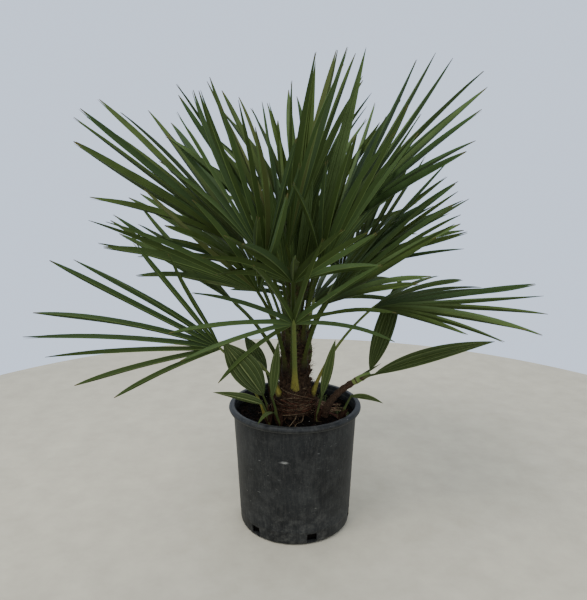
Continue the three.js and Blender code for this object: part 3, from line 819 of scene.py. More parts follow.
def seeded_numbers(seed: int) -> Callable[[], float]:
    """Gives a repeatable row of numbers from 0 to 1, by the congruence that the CAD uses.

    Args:
        seed: The row's number.

    Returns:
        A function that draws the next number.
    """
    span = 2**32
    state = [(seed * 7919 + 12345) % span]

    def draw() -> float:
        state[0] = (state[0] * 1664525 + 1013904223) % span
        return state[0] / span

    return draw


def ease(value: float) -> float:
    """Goes smoothly from 0 to 1 as the value does, and stays there."""
    value = min(max(value, 0.0), 1.0)
    return value * value * (3 - 2 * value)


def angle_from(angle: float, turn: float) -> float:
    """Gives an angle in radians as counted from a turn in degrees, between half turns."""
    return (angle - math.radians(turn) + math.pi) % math.tau - math.pi


def bowed(start: Vector, bend: Vector, end: Vector, share: float) -> Vector:
    """Gives the place at a share of the way along a line that is bowed toward its bend."""
    return start * (1 - share) ** 2 + bend * (2 * share * (1 - share)) + end * share**2


def standing(turn: float, radius: float, height: float) -> Vector:
    """Gives the place at a compass angle in degrees, a radius and a height."""
    place = pointing(turn, 0) * radius
    place.z = height
    return place


@dataclass
class TrunkForm:
    """The trunk's sizes, which its bark, its fibres and the petioles' feet share."""

    foot: float = 192.3
    top: float = 333.0
    radius: float = 22.0
    tip_radius: float = 15.0
    taper_from: float = 262.0
    flare: float = 15.0
    flare_height: float = 32.0
    cover: float = 0.8
    cover_span: tuple[float, float] = (215.0, 330.0)
    mound: float = 11.0
    mound_turn: float = 268.0
    mound_spread: float = 0.75
    mound_top: float = 252.0

    def radius_at(self, height: float) -> float:
        """Gives the trunk's own radius at a height."""
        flare = self.flare * math.exp(-(((height - self.foot) / self.flare_height) ** 2))
        taper = min(max((height - self.taper_from) / (self.top - self.taper_from), 0.0), 1.0)
        return self.radius + flare + (self.tip_radius - self.radius) * taper

    def face(self, angle: float, height: float) -> float:
        """Gives the radius with the mat over the petioles' feet and the mound in front.

        Args:
            angle: The place's compass angle in radians.
            height: Its height.

        Returns:
            The radius in millimetres, without the bark's relief.
        """
        low, high = self.cover_span
        cover = self.cover * ease((height - low) / 20) * ease((high - height) / 25)
        gap = angle_from(angle, self.mound_turn) / self.mound_spread
        mound = self.mound * math.exp(-(gap**2)) * ease((self.mound_top - height) / 22)
        return self.radius_at(max(height, self.foot)) + cover + mound


TRUNK = TrunkForm()


@dataclass
class Petiole:
    """A leaf stalk on a line that bows a little upward, swollen at its foot."""

    foot: Vector
    hub: Vector
    radii: tuple[float, float]
    swelling: float = 0.95
    swollen_length: float = 13.0
    sheath: float = 15.0
    steps: int = 22
    past_hub: float = 14.0
    bow: float = 0.13
    first_tooth: float = 24.0
    teeth_end: float = 0.86

    def place(self, share: float) -> Vector:
        """Gives the stalk's middle at a place.

        Args:
            share: The share of the way from the foot to the hub.

        Returns:
            The middle.
        """
        chord = self.hub - self.foot
        bow = (UP - chord * (chord.z / chord.length_squared)).normalized()
        bend = (self.foot + self.hub) / 2 + bow * (self.bow * chord.length)
        return bowed(self.foot, bend, self.hub, share)

    def heading(self, share: float) -> Vector:
        """Gives the stalk's direction at a share of the way."""
        return (self.place(share + 0.01) - self.place(share - 0.01)).normalized()

    def across(self, share: float) -> Vector:
        """Gives the level direction across the stalk."""
        return UP.cross(self.heading(share)).normalized()

    def half_width(self, share: float) -> float:
        """Gives half the stalk's width at a share of the way."""
        width = self.radii[0] + (self.radii[1] - self.radii[0]) * math.sqrt(share)
        distance = share * (self.hub - self.foot).length
        return width * (1 + self.swelling * math.exp(-((distance / self.swollen_length) ** 2)))

    def draw(self, lines: LineSet, tone: float = 0.0) -> None:
        """Adds the stalk's line, which starts in what carries it and ends in the blade's root.

        Args:
            lines: Takes the line.
            tone: The number of its finish.
        """
        shares = [(i / self.steps) ** 1.4 for i in range(self.steps + 1)]
        rows = [(self.place(s), self.half_width(s), self.across(s), s) for s in shares]
        inward = Vector((-self.foot.x, -self.foot.y, 0.0)).normalized()
        base, level = rows[0][1:3]
        for step in (0.5, 1.0):
            sunk = self.foot + (inward * 0.28 - UP) * (self.sheath * step)
            rows.insert(0, (sunk, base * (1.12 - 0.1 * step), level, 0.0))
            past = self.hub + self.heading(1.0) * (self.past_hub * step)
            rows.append((past, self.radii[1] * (1.1 - step), rows[-1][2], 1.0))
        lines.trace(rows, tone=tone)

    def teeth(self, points: LineSet, draw: random.Random) -> None:
        """Adds the points of the small forward teeth along both margins.

        Args:
            points: Takes a lone point for each tooth.
            draw: The row of chance numbers.
        """
        length = (self.hub - self.foot).length
        for side in (-1.0, 1.0):
            distance = self.first_tooth
            while distance < self.teeth_end * length:
                share = distance / length
                root = self.place(share) + self.across(share) * (side * self.half_width(share) * 1.05)
                aim = self.across(share) * side + self.heading(share) * draw.uniform(0.5, 1.1)
                points.add([root], aim=aim.normalized(), size=draw.uniform(1.8, 3.6) * MM, tone=0.0)
                distance += draw.uniform(6.0, 12.0)


def cut_back_stalk(turn: float, height: float, end: Point) -> Petiole:
    """Gives an old stalk whose blade was cut off, swollen at its foot on the trunk.

    Args:
        turn: The compass angle of its foot.
        height: The height of its foot.
        end: Where it is cut.

    Returns:
        The stalk.
    """
    foot = standing(turn, TRUNK.face(math.radians(turn), height) + 1.5, height)
    return Petiole(foot, Vector(end), (4.8, 3.2), swollen_length=20.0, past_hub=0.8, bow=0.12)


def blade_axes(aim: tuple[float, float], roll: float) -> tuple[Vector, Vector, Vector]:
    """Gives a blade's own axes.

    Args:
        aim: The compass angle and the rise of its middle.
        roll: How far it is turned about that, in degrees.

    Returns:
        Unit vectors along its middle, out of its face, and across it.
    """
    middle = pointing(*aim)
    level = pointing(aim[0], aim[1] + 90)
    roll = math.radians(roll)
    normal = level * math.cos(roll) + level.cross(middle) * math.sin(roll)
    return middle, normal, normal.cross(middle)


@dataclass
class Leaflet:
    """One leaflet of a fan: its angle, length, curve and strays, and what it shares with neighbours."""

    phi: float
    length: float
    curve: float
    twist: float
    bend: float
    sway: float
    tone: int
    breadth: float = 1.0
    forked: bool = False
    spreads: tuple[float, float] = (0.0, 0.0)
    splits: tuple[float, float] = (0.0, 0.0)


@dataclass
class FanFrond:
    """One frond: leaflets that fan out from a hub and are fused near it.

    turn and foot place the petiole on the trunk, or at places it on the soil. hub is where the
    leaflets meet, aim the compass angle and rise of the middle one, and roll turns the fan about
    it. The rest are the fan's angle, skew and reach, the end leaflets' share of it, the lift
    of the fan's sides, the droop, the leaflets' width and their fused share, all as in the CAD.

    What only the finer fan has: finer leaflets for each of the CAD's, the length of the
    petiole's swollen foot, the share of the CAD's fused part that stays fused, the most that half
    a leaflet takes of the CAD's width, its folds at the rib in degrees, the fork of a tip, how far
    a leaflet strays (twist in degrees, sideways bend and sway as shares of its length), how many
    are broad or forked, and how often each green is dealt.
    """

    name: str
    hub: Point
    aim: tuple[float, float]
    leaflets: int
    fan: float
    reach: float
    turn: float = 0.0
    foot: float = 0.0
    at: Point | None = None
    stalk: tuple[float, float] = (6.0, 3.0)
    roll: float = 0.0
    skew: float = 0.0
    ends: float = 0.85
    cup: float = 5.0
    droop: float = 0.1
    width: float = 16.0
    split: float = 0.33
    finer: float = 1.0
    swollen: float = 13.0
    split_in_scene: float = 0.6
    half_share: float = 0.59
    seed: int = 0

    fold: float = 48.0
    tip_fold: float = 32.0
    tip_share: float = 0.9
    tip_gap: float = 1.5
    stray: tuple[float, float, float] = (40.0, 0.038, 0.052)
    broad_share: float = 0.12
    forked_share: float = 0.45
    greens: tuple[float, float, float, float] = (2.5, 4.5, 3.0, 0.4)

    FUSED_STEPS: ClassVar = (0.04, 0.35, 0.7, 1.0)
    FREE_STEPS: ClassVar = (0.05, 0.12, 0.22, 0.34, 0.46, 0.58, 0.69, 0.79, 0.865, 0.9, 0.95, 1)

    def leaflet_row(self) -> list[Leaflet]:
        """Deals out the leaflets over the fan by the CAD's seeded rule, with finer steps.

        Returns:
            The leaflets from one end of the fan to the other.
        """
        draw = seeded_numbers(self.seed)
        chance = random.Random(self.seed)
        count = round(self.leaflets * self.finer)
        fan = math.radians(self.fan)
        row = []
        split = self.split * self.split_in_scene
        for k in range(count):
            place = k / (count - 1) - 0.5
            phi = fan * place + math.radians(self.skew + (draw() - 0.5) * 3)
            share = 1 - (1 - self.ends) * (2 * place) ** 2
            length = self.reach * share * (1 - 0.1 * draw())
            curve = self.droop * (0.7 + 0.6 * draw()) / length
            tone = chance.choices((0, 1, 2, 3), self.greens)[0]
            twist, bend, sway = (chance.gauss(0, most) for most in self.stray)
            breadth = chance.uniform(1.3, 1.6) if chance.random() < self.broad_share else 1.0
            forked = chance.random() < self.forked_share
            row.append(Leaflet(phi, length, curve, twist, bend, sway, tone, breadth, forked))
        pitch = fan / (count - 1)
        for k, leaflet in enumerate(row):
            spreads, splits = [], []
            for other in (k - 1, k + 1):
                if 0 <= other < count:
                    spreads.append(abs(row[other].phi - leaflet.phi) / 2)
                    splits.append(split * (row[other].length + leaflet.length) / 2)
                else:
                    spreads.append(0.4 * pitch)
                    splits.append(split * leaflet.length)
            leaflet.spreads, leaflet.splits = tuple(spreads), tuple(splits)
        return row

    def draw_blade(self, lines: LineSet) -> None:
        """Adds the lines of all half leaflets.

        Args:
            lines: Takes two lines for each leaflet, one for each side of its rib.
        """
        middle, normal, side_way = blade_axes(self.aim, self.roll)
        for leaflet in self.leaflet_row():
            lift = math.radians(self.cup) * abs(math.sin(leaflet.phi))
            flat = middle * math.cos(leaflet.phi) + side_way * math.sin(leaflet.phi)
            ray = flat * math.cos(lift) + normal * math.sin(lift)
            width_way = side_way * math.cos(leaflet.phi) - middle * math.sin(leaflet.phi)
            for index in (0, 1):
                self.draw_half(lines, leaflet, index, ray, width_way)

    def draw_half(
        self, lines: LineSet, leaflet: Leaflet, index: int, ray: Vector, width_way: Vector
    ) -> None:
        """Adds the line of one half leaflet.

        Args:
            lines: Takes the line.
            leaflet: The leaflet.
            index: 0 for the half before its rib and 1 for the half after it.
            ray: The leaflet's direction.
            width_way: The direction across it.
        """
        side = 2.0 * index - 1.0
        mean_curve = self.droop / self.reach
        split = self.split * self.split_in_scene * leaflet.length
        own_split = leaflet.splits[index]
        root_width = own_split * math.tan(leaflet.spreads[index]) / math.cos(math.radians(self.fold))
        free_width = min(1.3 * root_width, self.width * self.half_share) * leaflet.breadth
        radii = [split * q for q in self.FUSED_STEPS]
        radii += [split + (leaflet.length - split) * q for q in self.FREE_STEPS]
        rows = []
        for radius in radii:
            q = max(0.0, (radius - own_split) / (leaflet.length - own_split))
            extra = max(0.0, radius - split)
            drop = mean_curve * radius**2 / 2 + (leaflet.curve - mean_curve) * extra**2 / 2
            slope = mean_curve * radius + (leaflet.curve - mean_curve) * extra
            heading = (ray - UP * slope).normalized()
            across = (width_way - heading * width_way.dot(heading)).normalized()
            point = Vector(self.hub) + ray * radius - UP * drop
            upper = heading.cross(across)
            point += across * (leaflet.bend * leaflet.length * q * q)
            point += upper * (leaflet.sway * leaflet.length * q * q)
            fold = self.fold + (self.tip_fold - self.fold) * ease((q - 0.4) / 0.6)
            half = radius * math.tan(leaflet.spreads[index]) / math.cos(math.radians(fold))
            if radius > own_split:
                half = root_width + (free_width - root_width) * ease(q / 0.3)
                half *= 1 - 0.9 * q**5
            if leaflet.forked and q > self.tip_share:
                parting = (q - self.tip_share) / (1 - self.tip_share)
                point += across * (side * self.tip_gap * parting**1.4)
            lean = math.radians(fold)
            way = across * (side * math.cos(lean)) + upper * math.sin(lean)
            way = Matrix.Rotation(math.radians(leaflet.twist) * q, 3, heading) @ way
            rows.append((point, half, way, radius / leaflet.length))
        lines.trace(rows, side=side, tone=float(leaflet.tone))

    def petiole(self) -> Petiole:
        """Gives the petiole, its foot sunk a little into the trunk's fibres or the soil.

        Returns:
            The petiole.
        """
        if self.at is not None:
            foot = Vector((*self.at, TRUNK.foot - 4))
        else:
            foot = standing(self.turn, TRUNK.radius_at(self.foot) + self.stalk[0] - 7, self.foot - 3)
        radii = (self.stalk[0] * 0.8, self.stalk[1] * 1.05)
        return Petiole(foot, Vector(self.hub), radii, swollen_length=self.swollen)


@dataclass
class LanceLeaf:
    """An undivided young leaf: a pleated lance-shaped blade on a short stalk.

    at is its foot, on the soil where it has no height. widest is the share of the reach where the
    blade is widest, and fold how far its halves stand up, in degrees.
    """

    name: str
    at: Point
    hub: Point
    aim: tuple[float, float]
    roll: float
    reach: float
    width: float
    widest: float
    droop: float
    pleats: int = 2
    stalk: tuple[float, float] = (3.4, 2.2)
    fold: float = 14.0
    steps: int = 20

    def draw_blade(self, lines: LineSet, tone: float) -> None:
        """Adds the lines of the blade's two halves.

        Args:
            lines: Takes the two lines.
            tone: The number of its finish.
        """
        ray, _, across_way = blade_axes(self.aim, self.roll)
        bulge = math.log(0.5) / math.log(self.widest)
        lean = math.radians(self.fold)
        for side in (-1.0, 1.0):
            rows = []
            for step in range(self.steps + 1):
                t = 0.004 + 0.992 * step / self.steps
                heading = (ray - UP * (self.droop * t)).normalized()
                across = (across_way - heading * across_way.dot(heading)).normalized()
                drop = self.reach * self.droop * t * t / 2
                place = Vector(self.hub) + ray * (self.reach * t) - UP * drop
                half = self.width / 2 * math.sin(math.pi * t**bulge) ** 0.9
                way = across * (side * math.cos(lean)) + heading.cross(across) * math.sin(lean)
                rows.append((place, half, way, t * 0.97))
            lines.trace(rows, side=side, tone=tone)

    def petiole(self) -> Petiole:
        """Gives the stalk, its foot in the soil or in the stem's sheath.

        Returns:
            The stalk.
        """
        foot = Vector(self.at) if len(self.at) == 3 else Vector((*self.at, TRUNK.foot - 4))
        return Petiole(
            foot, Vector(self.hub), self.stalk, swelling=0.6, swollen_length=9.0, sheath=0.5,
            past_hub=self.reach * 0.12, bow=0.08,
        )


# How often each of LEAF_GREENS is dealt to the low front fronds, which are older and warmer.
OLDER = (0.6, 6.0, 2.0, 0.4)

# The crown's fronds, named and placed as in the CAD.
CROWN = [
    FanFrond("frond_front_low", (-2, -92, 363), (280, 50), 9, 205, 215, turn=270, foot=228, skew=-22,
             ends=0.7, cup=-6, droop=0.3, width=10.5, split=0.24, swollen=30, split_in_scene=0.45,
             stray=(38.0, 0.05, 0.055), greens=OLDER),
    FanFrond("frond_front_left", (-55, -65, 406), (205, 30), 12, 130, 270, turn=225, foot=270, roll=-20,
             ends=0.9, cup=8, droop=0.15, width=13, stray=(42.0, 0.045, 0.055), greens=OLDER),
    FanFrond("frond_front_middle", (-3, -112, 428), (270, 30), 11, 170, 180, turn=262, foot=262,
             ends=0.7, cup=15, droop=0.25, width=13, stray=(42.0, 0.055, 0.065), greens=OLDER),
    FanFrond("frond_front_right", (47, -60, 386), (350, 42), 12, 100, 268, turn=312, foot=275, roll=-15,
             ends=0.9, cup=8, droop=0.2, width=13, stray=(42.0, 0.045, 0.055), greens=OLDER),
    FanFrond("frond_right_low", (122, -20, 372), (355, 5), 11, 105, 270, turn=345, foot=222, roll=-6,
             ends=0.8, cup=6, droop=0.2, width=15, swollen=24),
    FanFrond("frond_left_low", (-113, -60, 316), (195, 22), 9, 85, 300, at=(-46, -34), stalk=(4.5, 3.0),
             roll=-75, ends=0.65, cup=0, droop=0.1, width=12, split=0.3, greens=(4.0, 4.0, 0.8, 0.2)),
    FanFrond("frond_top_middle", (-11, -40, 466), (340, 71), 10, 60, 308, turn=275, foot=315,
             ends=0.95, droop=0.04, width=18, split=0.4),
    FanFrond("frond_top_right", (53, 20, 480), (350, 50), 11, 78, 350, turn=5, foot=320, roll=-24,
             droop=0.06, width=17, split=0.4),
    FanFrond("frond_top_left", (-77, 10, 461), (185, 44), 11, 80, 350, turn=175, foot=318, roll=22,
             droop=0.08, width=17, split=0.4),
    FanFrond("frond_top_centre_left", (-16, 30, 451), (165, 65), 9, 60, 330, turn=130, foot=320, roll=20,
             droop=0.05, width=17, split=0.4),
    FanFrond("frond_left_middle", (-98, 24, 370), (170, 36), 7, 42, 275, turn=172, foot=268, stalk=(7.0, 4.0),
             droop=0.08, width=15, split=0.38),
    FanFrond("frond_upper_front_left", (-45, -50, 452), (225, 62), 11, 90, 280, turn=232, foot=310,
             cup=6, width=17, split=0.4, split_in_scene=0.45, stray=(40.0, 0.05, 0.06)),
    FanFrond("frond_upper_front_right", (40, -52, 440), (325, 58), 11, 90, 280, turn=320, foot=312,
             cup=6, width=17, split=0.4, split_in_scene=0.45, stray=(40.0, 0.05, 0.06)),
    FanFrond("frond_right_middle", (96, 52, 424), (32, 50), 11, 100, 260, turn=40, foot=300,
             cup=6, droop=0.12, finer=1.3),
    FanFrond("frond_back_top", (10, 66, 476), (90, 66), 11, 100, 290, turn=85, foot=320,
             cup=6, droop=0.08, width=17, split=0.4, finer=1.3),
    FanFrond("frond_back_middle", (12, 108, 436), (88, 42), 12, 140, 280, turn=92, foot=275,
             cup=8, droop=0.2, finer=1.3),
    FanFrond("frond_back_left", (-70, 92, 412), (132, 36), 12, 130, 275, turn=128, foot=262,
             cup=8, droop=0.2, finer=1.3),
    FanFrond("frond_back_right", (80, 90, 408), (42, 36), 12, 130, 275, turn=52, foot=268,
             cup=8, droop=0.2, finer=1.3),
    FanFrond("frond_back_low", (34, 118, 352), (75, 20), 10, 150, 230, turn=75, foot=235,
             cup=6, droop=0.3, width=15, finer=1.3),
]


# The shut young frond at the crown's top.
SPEAR = LanceLeaf("frond_spear", (0, -1, 333.8), (20, -14, 420), (325, 74), -120, 345, 24, 0.4, 0.0, 3,
                  stalk=(4.5, 3.5), fold=30.0)


# Narrow folded young fronds round the spear, which stand on the trunk's tip.
FOLDED = [
    LanceLeaf("folded", foot, hub, aim, roll, reach, width, widest, droop, stalk=stalk, fold=fold)
    for foot, hub, aim, roll, reach, width, widest, droop, stalk, fold in (
        ((-5, -6, 333), (3, -15, 430), (348, 85), -82, 314, 24, 0.42, 0.0, (4.0, 3.2), 34),
        ((-8, -12, 330), (3, -36, 438), (350, 82), -125, 172, 20, 0.4, 0.02, (4.0, 3.0), 36),
        ((-11, -9, 328), (-17, -62, 414), (190, 74), 120, 118, 18, 0.4, 0.03, (3.8, 2.8), 30),
        ((-4, -9, 331), (-14, -23, 420), (205, 80), -70, 150, 24, 0.42, 0.02, (4.0, 3.0), 28),
        ((5, -8, 331), (11, -24, 420), (335, 79), 65, 142, 23, 0.42, 0.02, (4.0, 3.0), 28),
        ((1, -9, 331), (-3, -23, 418), (272, 85), 0, 140, 26, 0.36, 0.02, (4.0, 3.0), 24),
        ((9, 4, 333), (26, 12, 432), (20, 70), -95, 230, 20, 0.42, 0.02, (4.0, 3.0), 34),
        ((-4, 9, 333), (-18, 22, 436), (150, 76), 85, 220, 20, 0.42, 0.02, (4.0, 3.0), 34),
    )
]


# The side shoots' undivided leaves, named and placed as in the CAD.
SHOOTS = [
    LanceLeaf(f"shoot_leaf_{name}", foot, hub, aim, roll, reach, width, widest, droop, pleats)
    for name, foot, hub, aim, roll, reach, width, widest, droop, pleats in (
        ("left_pleated", (-38, -47), (-50, -50, 236), (200, 58), -70, 118, 48, 0.45, 0.1, 3),
        ("left_upright", (-27, -54), (-36, -58, 236), (320, 82), -125, 98, 16, 0.45, 0.05, 1),
        ("left_flat", (-40, -63), (-50, -67, 229), (200, 26), -50, 88, 20, 0.35, 0.2, 2),
        ("left_drooping", (-23, -70), (-30, -77, 218), (235, 30), 0, 52, 10, 0.4, 1.1, 1),
        ("right_upright", (34, -48), (42, -46, 232), (348, 78), -95, 102, 16, 0.45, 0.05, 1),
        ("right_tall", (107.3, -26.4, 259.7), (121, -23, 270), (56, 51), -38, 183, 34, 0.42, 0.02, 3),
        ("right_long", (106.8, -33.8, 259.6), (126, -38, 268), (0, 22), -40, 205, 27, 0.42, 0.22, 2),
        ("right_low", (72, -46), (88, -52, 236), (350, 8), -30, 52, 12, 0.4, 0.6, 1),
        ("back_left", (-40, 48), (-50, 60, 238), (131, 43), 30, 88, 26, 0.45, 0.15, 3),
        ("back_right", (12, 56), (15, 70, 236), (86, 32), 0, 118, 30, 0.4, 0.3, 2),
    )
]


def blade_profile(name: str, pleats: int, thickness: float, pleat_depth: float) -> Object:
    """Makes half a blade's section, from its rib at x = 0 to its edge at x = 1.

    Args:
        name: The profile's name.
        pleats: How many pleats it has, or 0 for one gentle swell.
        thickness: Half its thickness as a share of the half width.
        pleat_depth: The pleats' height as the same share.

    Returns:
        The profile as a closed line with across, rib and face.
    """
    count = max(2 * pleats, 3)
    below, above = [], []
    for j in range(count + 1):
        x = j / count
        crest = j % 2 == 0
        height = pleat_depth * (1 if crest else -1) if pleats else pleat_depth * math.sin(math.pi * x)
        bulk = thickness * (1.9 if j == 0 else 1 - 0.55 * x)
        rib = float(crest if pleats else j == 0)
        below.append((x, height - bulk, rib, -1.0))
        above.insert(0, (x, height + bulk, rib, 1.0))
    xs, heights, ribs, faces = (list(column) for column in zip(*below, *above))
    loop = LineSet()
    loop.add([Vector((x, y, 0.0)) for x, y in zip(xs, heights)], across=xs, rib=ribs, face=faces)
    return loop.to_object(name, closed=True, scale=1.0)


def round_profile(name: str, sides: int, above: float, below: float) -> Object:
    """Makes a rounded section of half width 1.

    Args:
        name: The profile's name.
        sides: How many sides it has.
        above: Its height over the widest line.
        below: Its depth under it.

    Returns:
        The profile as a closed line.
    """
    circle = level_ring(lambda _: 1.0, 0.0, sides)
    loop = LineSet()
    loop.add([Vector((x, y * (above if y > 0 else below), 0.0)) for x, y, _ in circle])
    return loop.to_object(name, closed=True, scale=1.0)


def spike(name: str, sides: int, radius: float, bends: Sequence[Point]) -> Object:
    """Makes a tapering spike of height 1 through bends, from its foot at the origin.

    Args:
        name: The shape's name.
        sides: How many sides it has.
        radius: Its radius at the foot.
        bends: Sideways x, height and share of the radius at each ring.

    Returns:
        The shape, in its own units.
    """
    rings = []
    for offset, height, share in bends:
        ring = level_ring(lambda _: radius * share, height, sides)
        rings.append([((offset + x) / MM, y / MM, z / MM) for x, y, z in ring])
    return link_object(name, ring_mesh(name, rings, ends=True))


@dataclass(frozen=True)
class Strewn:
    """Small copies strewn over a piece: how thick they lie, where they point and their sizes.

    cover gives the share of the density at a place in millimetres. stand, spread and rise weigh
    the surface's normal, chance and the height in the direction that a copy points.
    """

    name: str
    shape: Object
    finish: Finish
    cover: Callable[[Vector], float]
    density: float
    seed: int
    stand: float
    spread: float
    sizes: tuple[float, float]
    rise: float = 0.0


@dataclass
class Workshop:
    """The trees, and the helper shapes that are cleared away at the end."""

    sweeping: SweepTree = field(default_factory=SweepTree)
    placing: PlaceTree = field(default_factory=PlaceTree)
    strewing: ScatterTree = field(default_factory=ScatterTree)
    tools: dict[str, Object] = field(default_factory=dict)

    def sweep(
        self, name: str, lines: LineSet, section: Object, finishes: Sequence[Finish], slot: Slot,
        nodes: Sequence[str] = (),
    ) -> Object:
        """Sweeps a section along lines and hands the piece over.

        Args:
            name: The piece's name.
            lines: The lines, with half_width, width_way and tone at each point.
            section: A closed line, its x from 0 at the line to 1 at the edge.
            finishes: One for each tone, the last one for all that follow.
            slot: The material slot meant for its finish; not used.
            nodes: The CAD nodes that it replaces.

        Returns:
            The piece.
        """
        self.tools[section.name] = section
        skins = [finish.build() for finish in finishes]
        inputs = {key: skins[min(i, len(skins) - 1)] for i, key in enumerate(SweepTree.FINISHES)}
        made = self.sweeping.run_on_lines(lines, name, {"Profile": section, **inputs})
        hand_over(made, nodes)
        return made

    def place(self, name: str, points: LineSet, shape: Object, finish: Finish, slot: Slot) -> None:
        """Sets copies of a shape on points and hands the piece over.

        Args:
            name: The piece's name.
            points: Lone points with aim and size.
            shape: The shape, its foot at the origin and its tip along +Z.
            finish: Its finish.
            slot: The material slot meant for its finish; not used.
        """
        self.tools[shape.name] = shape
        inputs = {"Shape": shape, "Finish": finish.build()}
        hand_over(self.placing.run_on_lines(points, name, inputs))

    def strew(self, ground: Object, strewn: Strewn, slot: Slot) -> None:
        """Strews copies over a piece and hands them over.

        Args:
            ground: The piece that carries them.
            strewn: What is strewn, and how.
            slot: The material slot meant for its finish; not used.
        """
        self.tools[strewn.shape.name] = strewn.shape
        layer = ground.data.attributes.new("cover", "FLOAT", "POINT")
        layer.data.foreach_set("value", [strewn.cover(v.co / MM) for v in ground.data.vertices])
        made = self.strewing.run(ground, strewn.name, {
            "Shape": strewn.shape, "Density": strewn.density, "Seed": strewn.seed,
            "Stand": strewn.stand, "Spread": strewn.spread, "Rise": strewn.rise,
            "Smallest": strewn.sizes[0] * MM, "Largest": strewn.sizes[1] * MM,
            "Finish": strewn.finish.build(),
        })
        ground.data.attributes.remove(ground.data.attributes["cover"])
        hand_over(made)

    def clear(self) -> None:
        """Removes the helper shapes."""
        for tool in self.tools.values():
            bpy.data.objects.remove(tool)
        self.tools.clear()


@dataclass
class Crown:
    """All fronds of the crown: blades, petioles and the petioles' teeth.

    groups gives the span of fronds in each piece of blades. A petiole whose foot is under
    pale_below is yellow-green there. cut_back is an old stalk's turn, height and cut end.
    """

    fronds: list[FanFrond]
    shop: Workshop
    groups: tuple[tuple[str, int, int], ...] = (("front", 0, 6), ("top", 6, 13), ("back", 13, 19))
    pale_below: float = 240.0
    cut_back: tuple[float, float, Point] = (224.0, 227.0, (-60, -16, 282))
    first_tooth_seed: int = 100
    stalks: Object | None = None

    def build(self) -> None:
        """Builds the blades in three groups, then the spear, all petioles and their teeth."""
        section = blade_profile("leaflet_section", 0, 0.035, 0.06)
        for seed, frond in enumerate(self.fronds, start=1):
            frond.seed = seed
        for name, first, end in self.groups:
            lines = LineSet()
            for frond in self.fronds[first:end]:
                frond.draw_blade(lines)
            nodes = [frond.name for frond in self.fronds[first:end]]
            self.shop.sweep(f"crown_blades_{name}", lines, section, LEAF_GREENS, Slot.FROND, nodes)
        self.build_spear()
        self.build_stalks()

    def build_spear(self) -> None:
        """Builds the shut young frond at the crown's top and the folded ones round it."""
        lines = LineSet()
        SPEAR.draw_blade(lines, 2.0)
        for index, leaf in enumerate(FOLDED):
            leaf.draw_blade(lines, float(1 + index % 2))
        section = blade_profile("spear_section", SPEAR.pleats, 0.04, 0.07)
        self.shop.sweep("crown_spear", lines, section, LEAF_GREENS, Slot.FROND, [SPEAR.name])

    def build_stalks(self) -> None:
        """Builds the petioles and their teeth."""
        lines, points = LineSet(), LineSet()
        for frond in self.fronds:
            stalk = frond.petiole()
            stalk.draw(lines, 0.0 if frond.foot < self.pale_below else 1.0)
            stalk.teeth(points, random.Random(self.first_tooth_seed + frond.seed))
        for leaf in (SPEAR, *FOLDED):
            leaf.petiole().draw(lines, 1.0)
        cut_back_stalk(*self.cut_back).draw(lines, 0.0)
        section = round_profile("petiole_section", 14, 0.45, 0.8)
        rinds = (PETIOLE_LOW, PETIOLE_HIGH)
        self.stalks = self.shop.sweep("crown_petioles", lines, section, rinds, Slot.FROND)
        tooth = spike("tooth_shape", 5, 0.24, [(0, -0.3, 1), (0, 0.35, 0.6), (0.06, 1, 0.05)])
        self.shop.place("petiole_teeth", points, tooth, TOOTH_HORN, Slot.FROND)


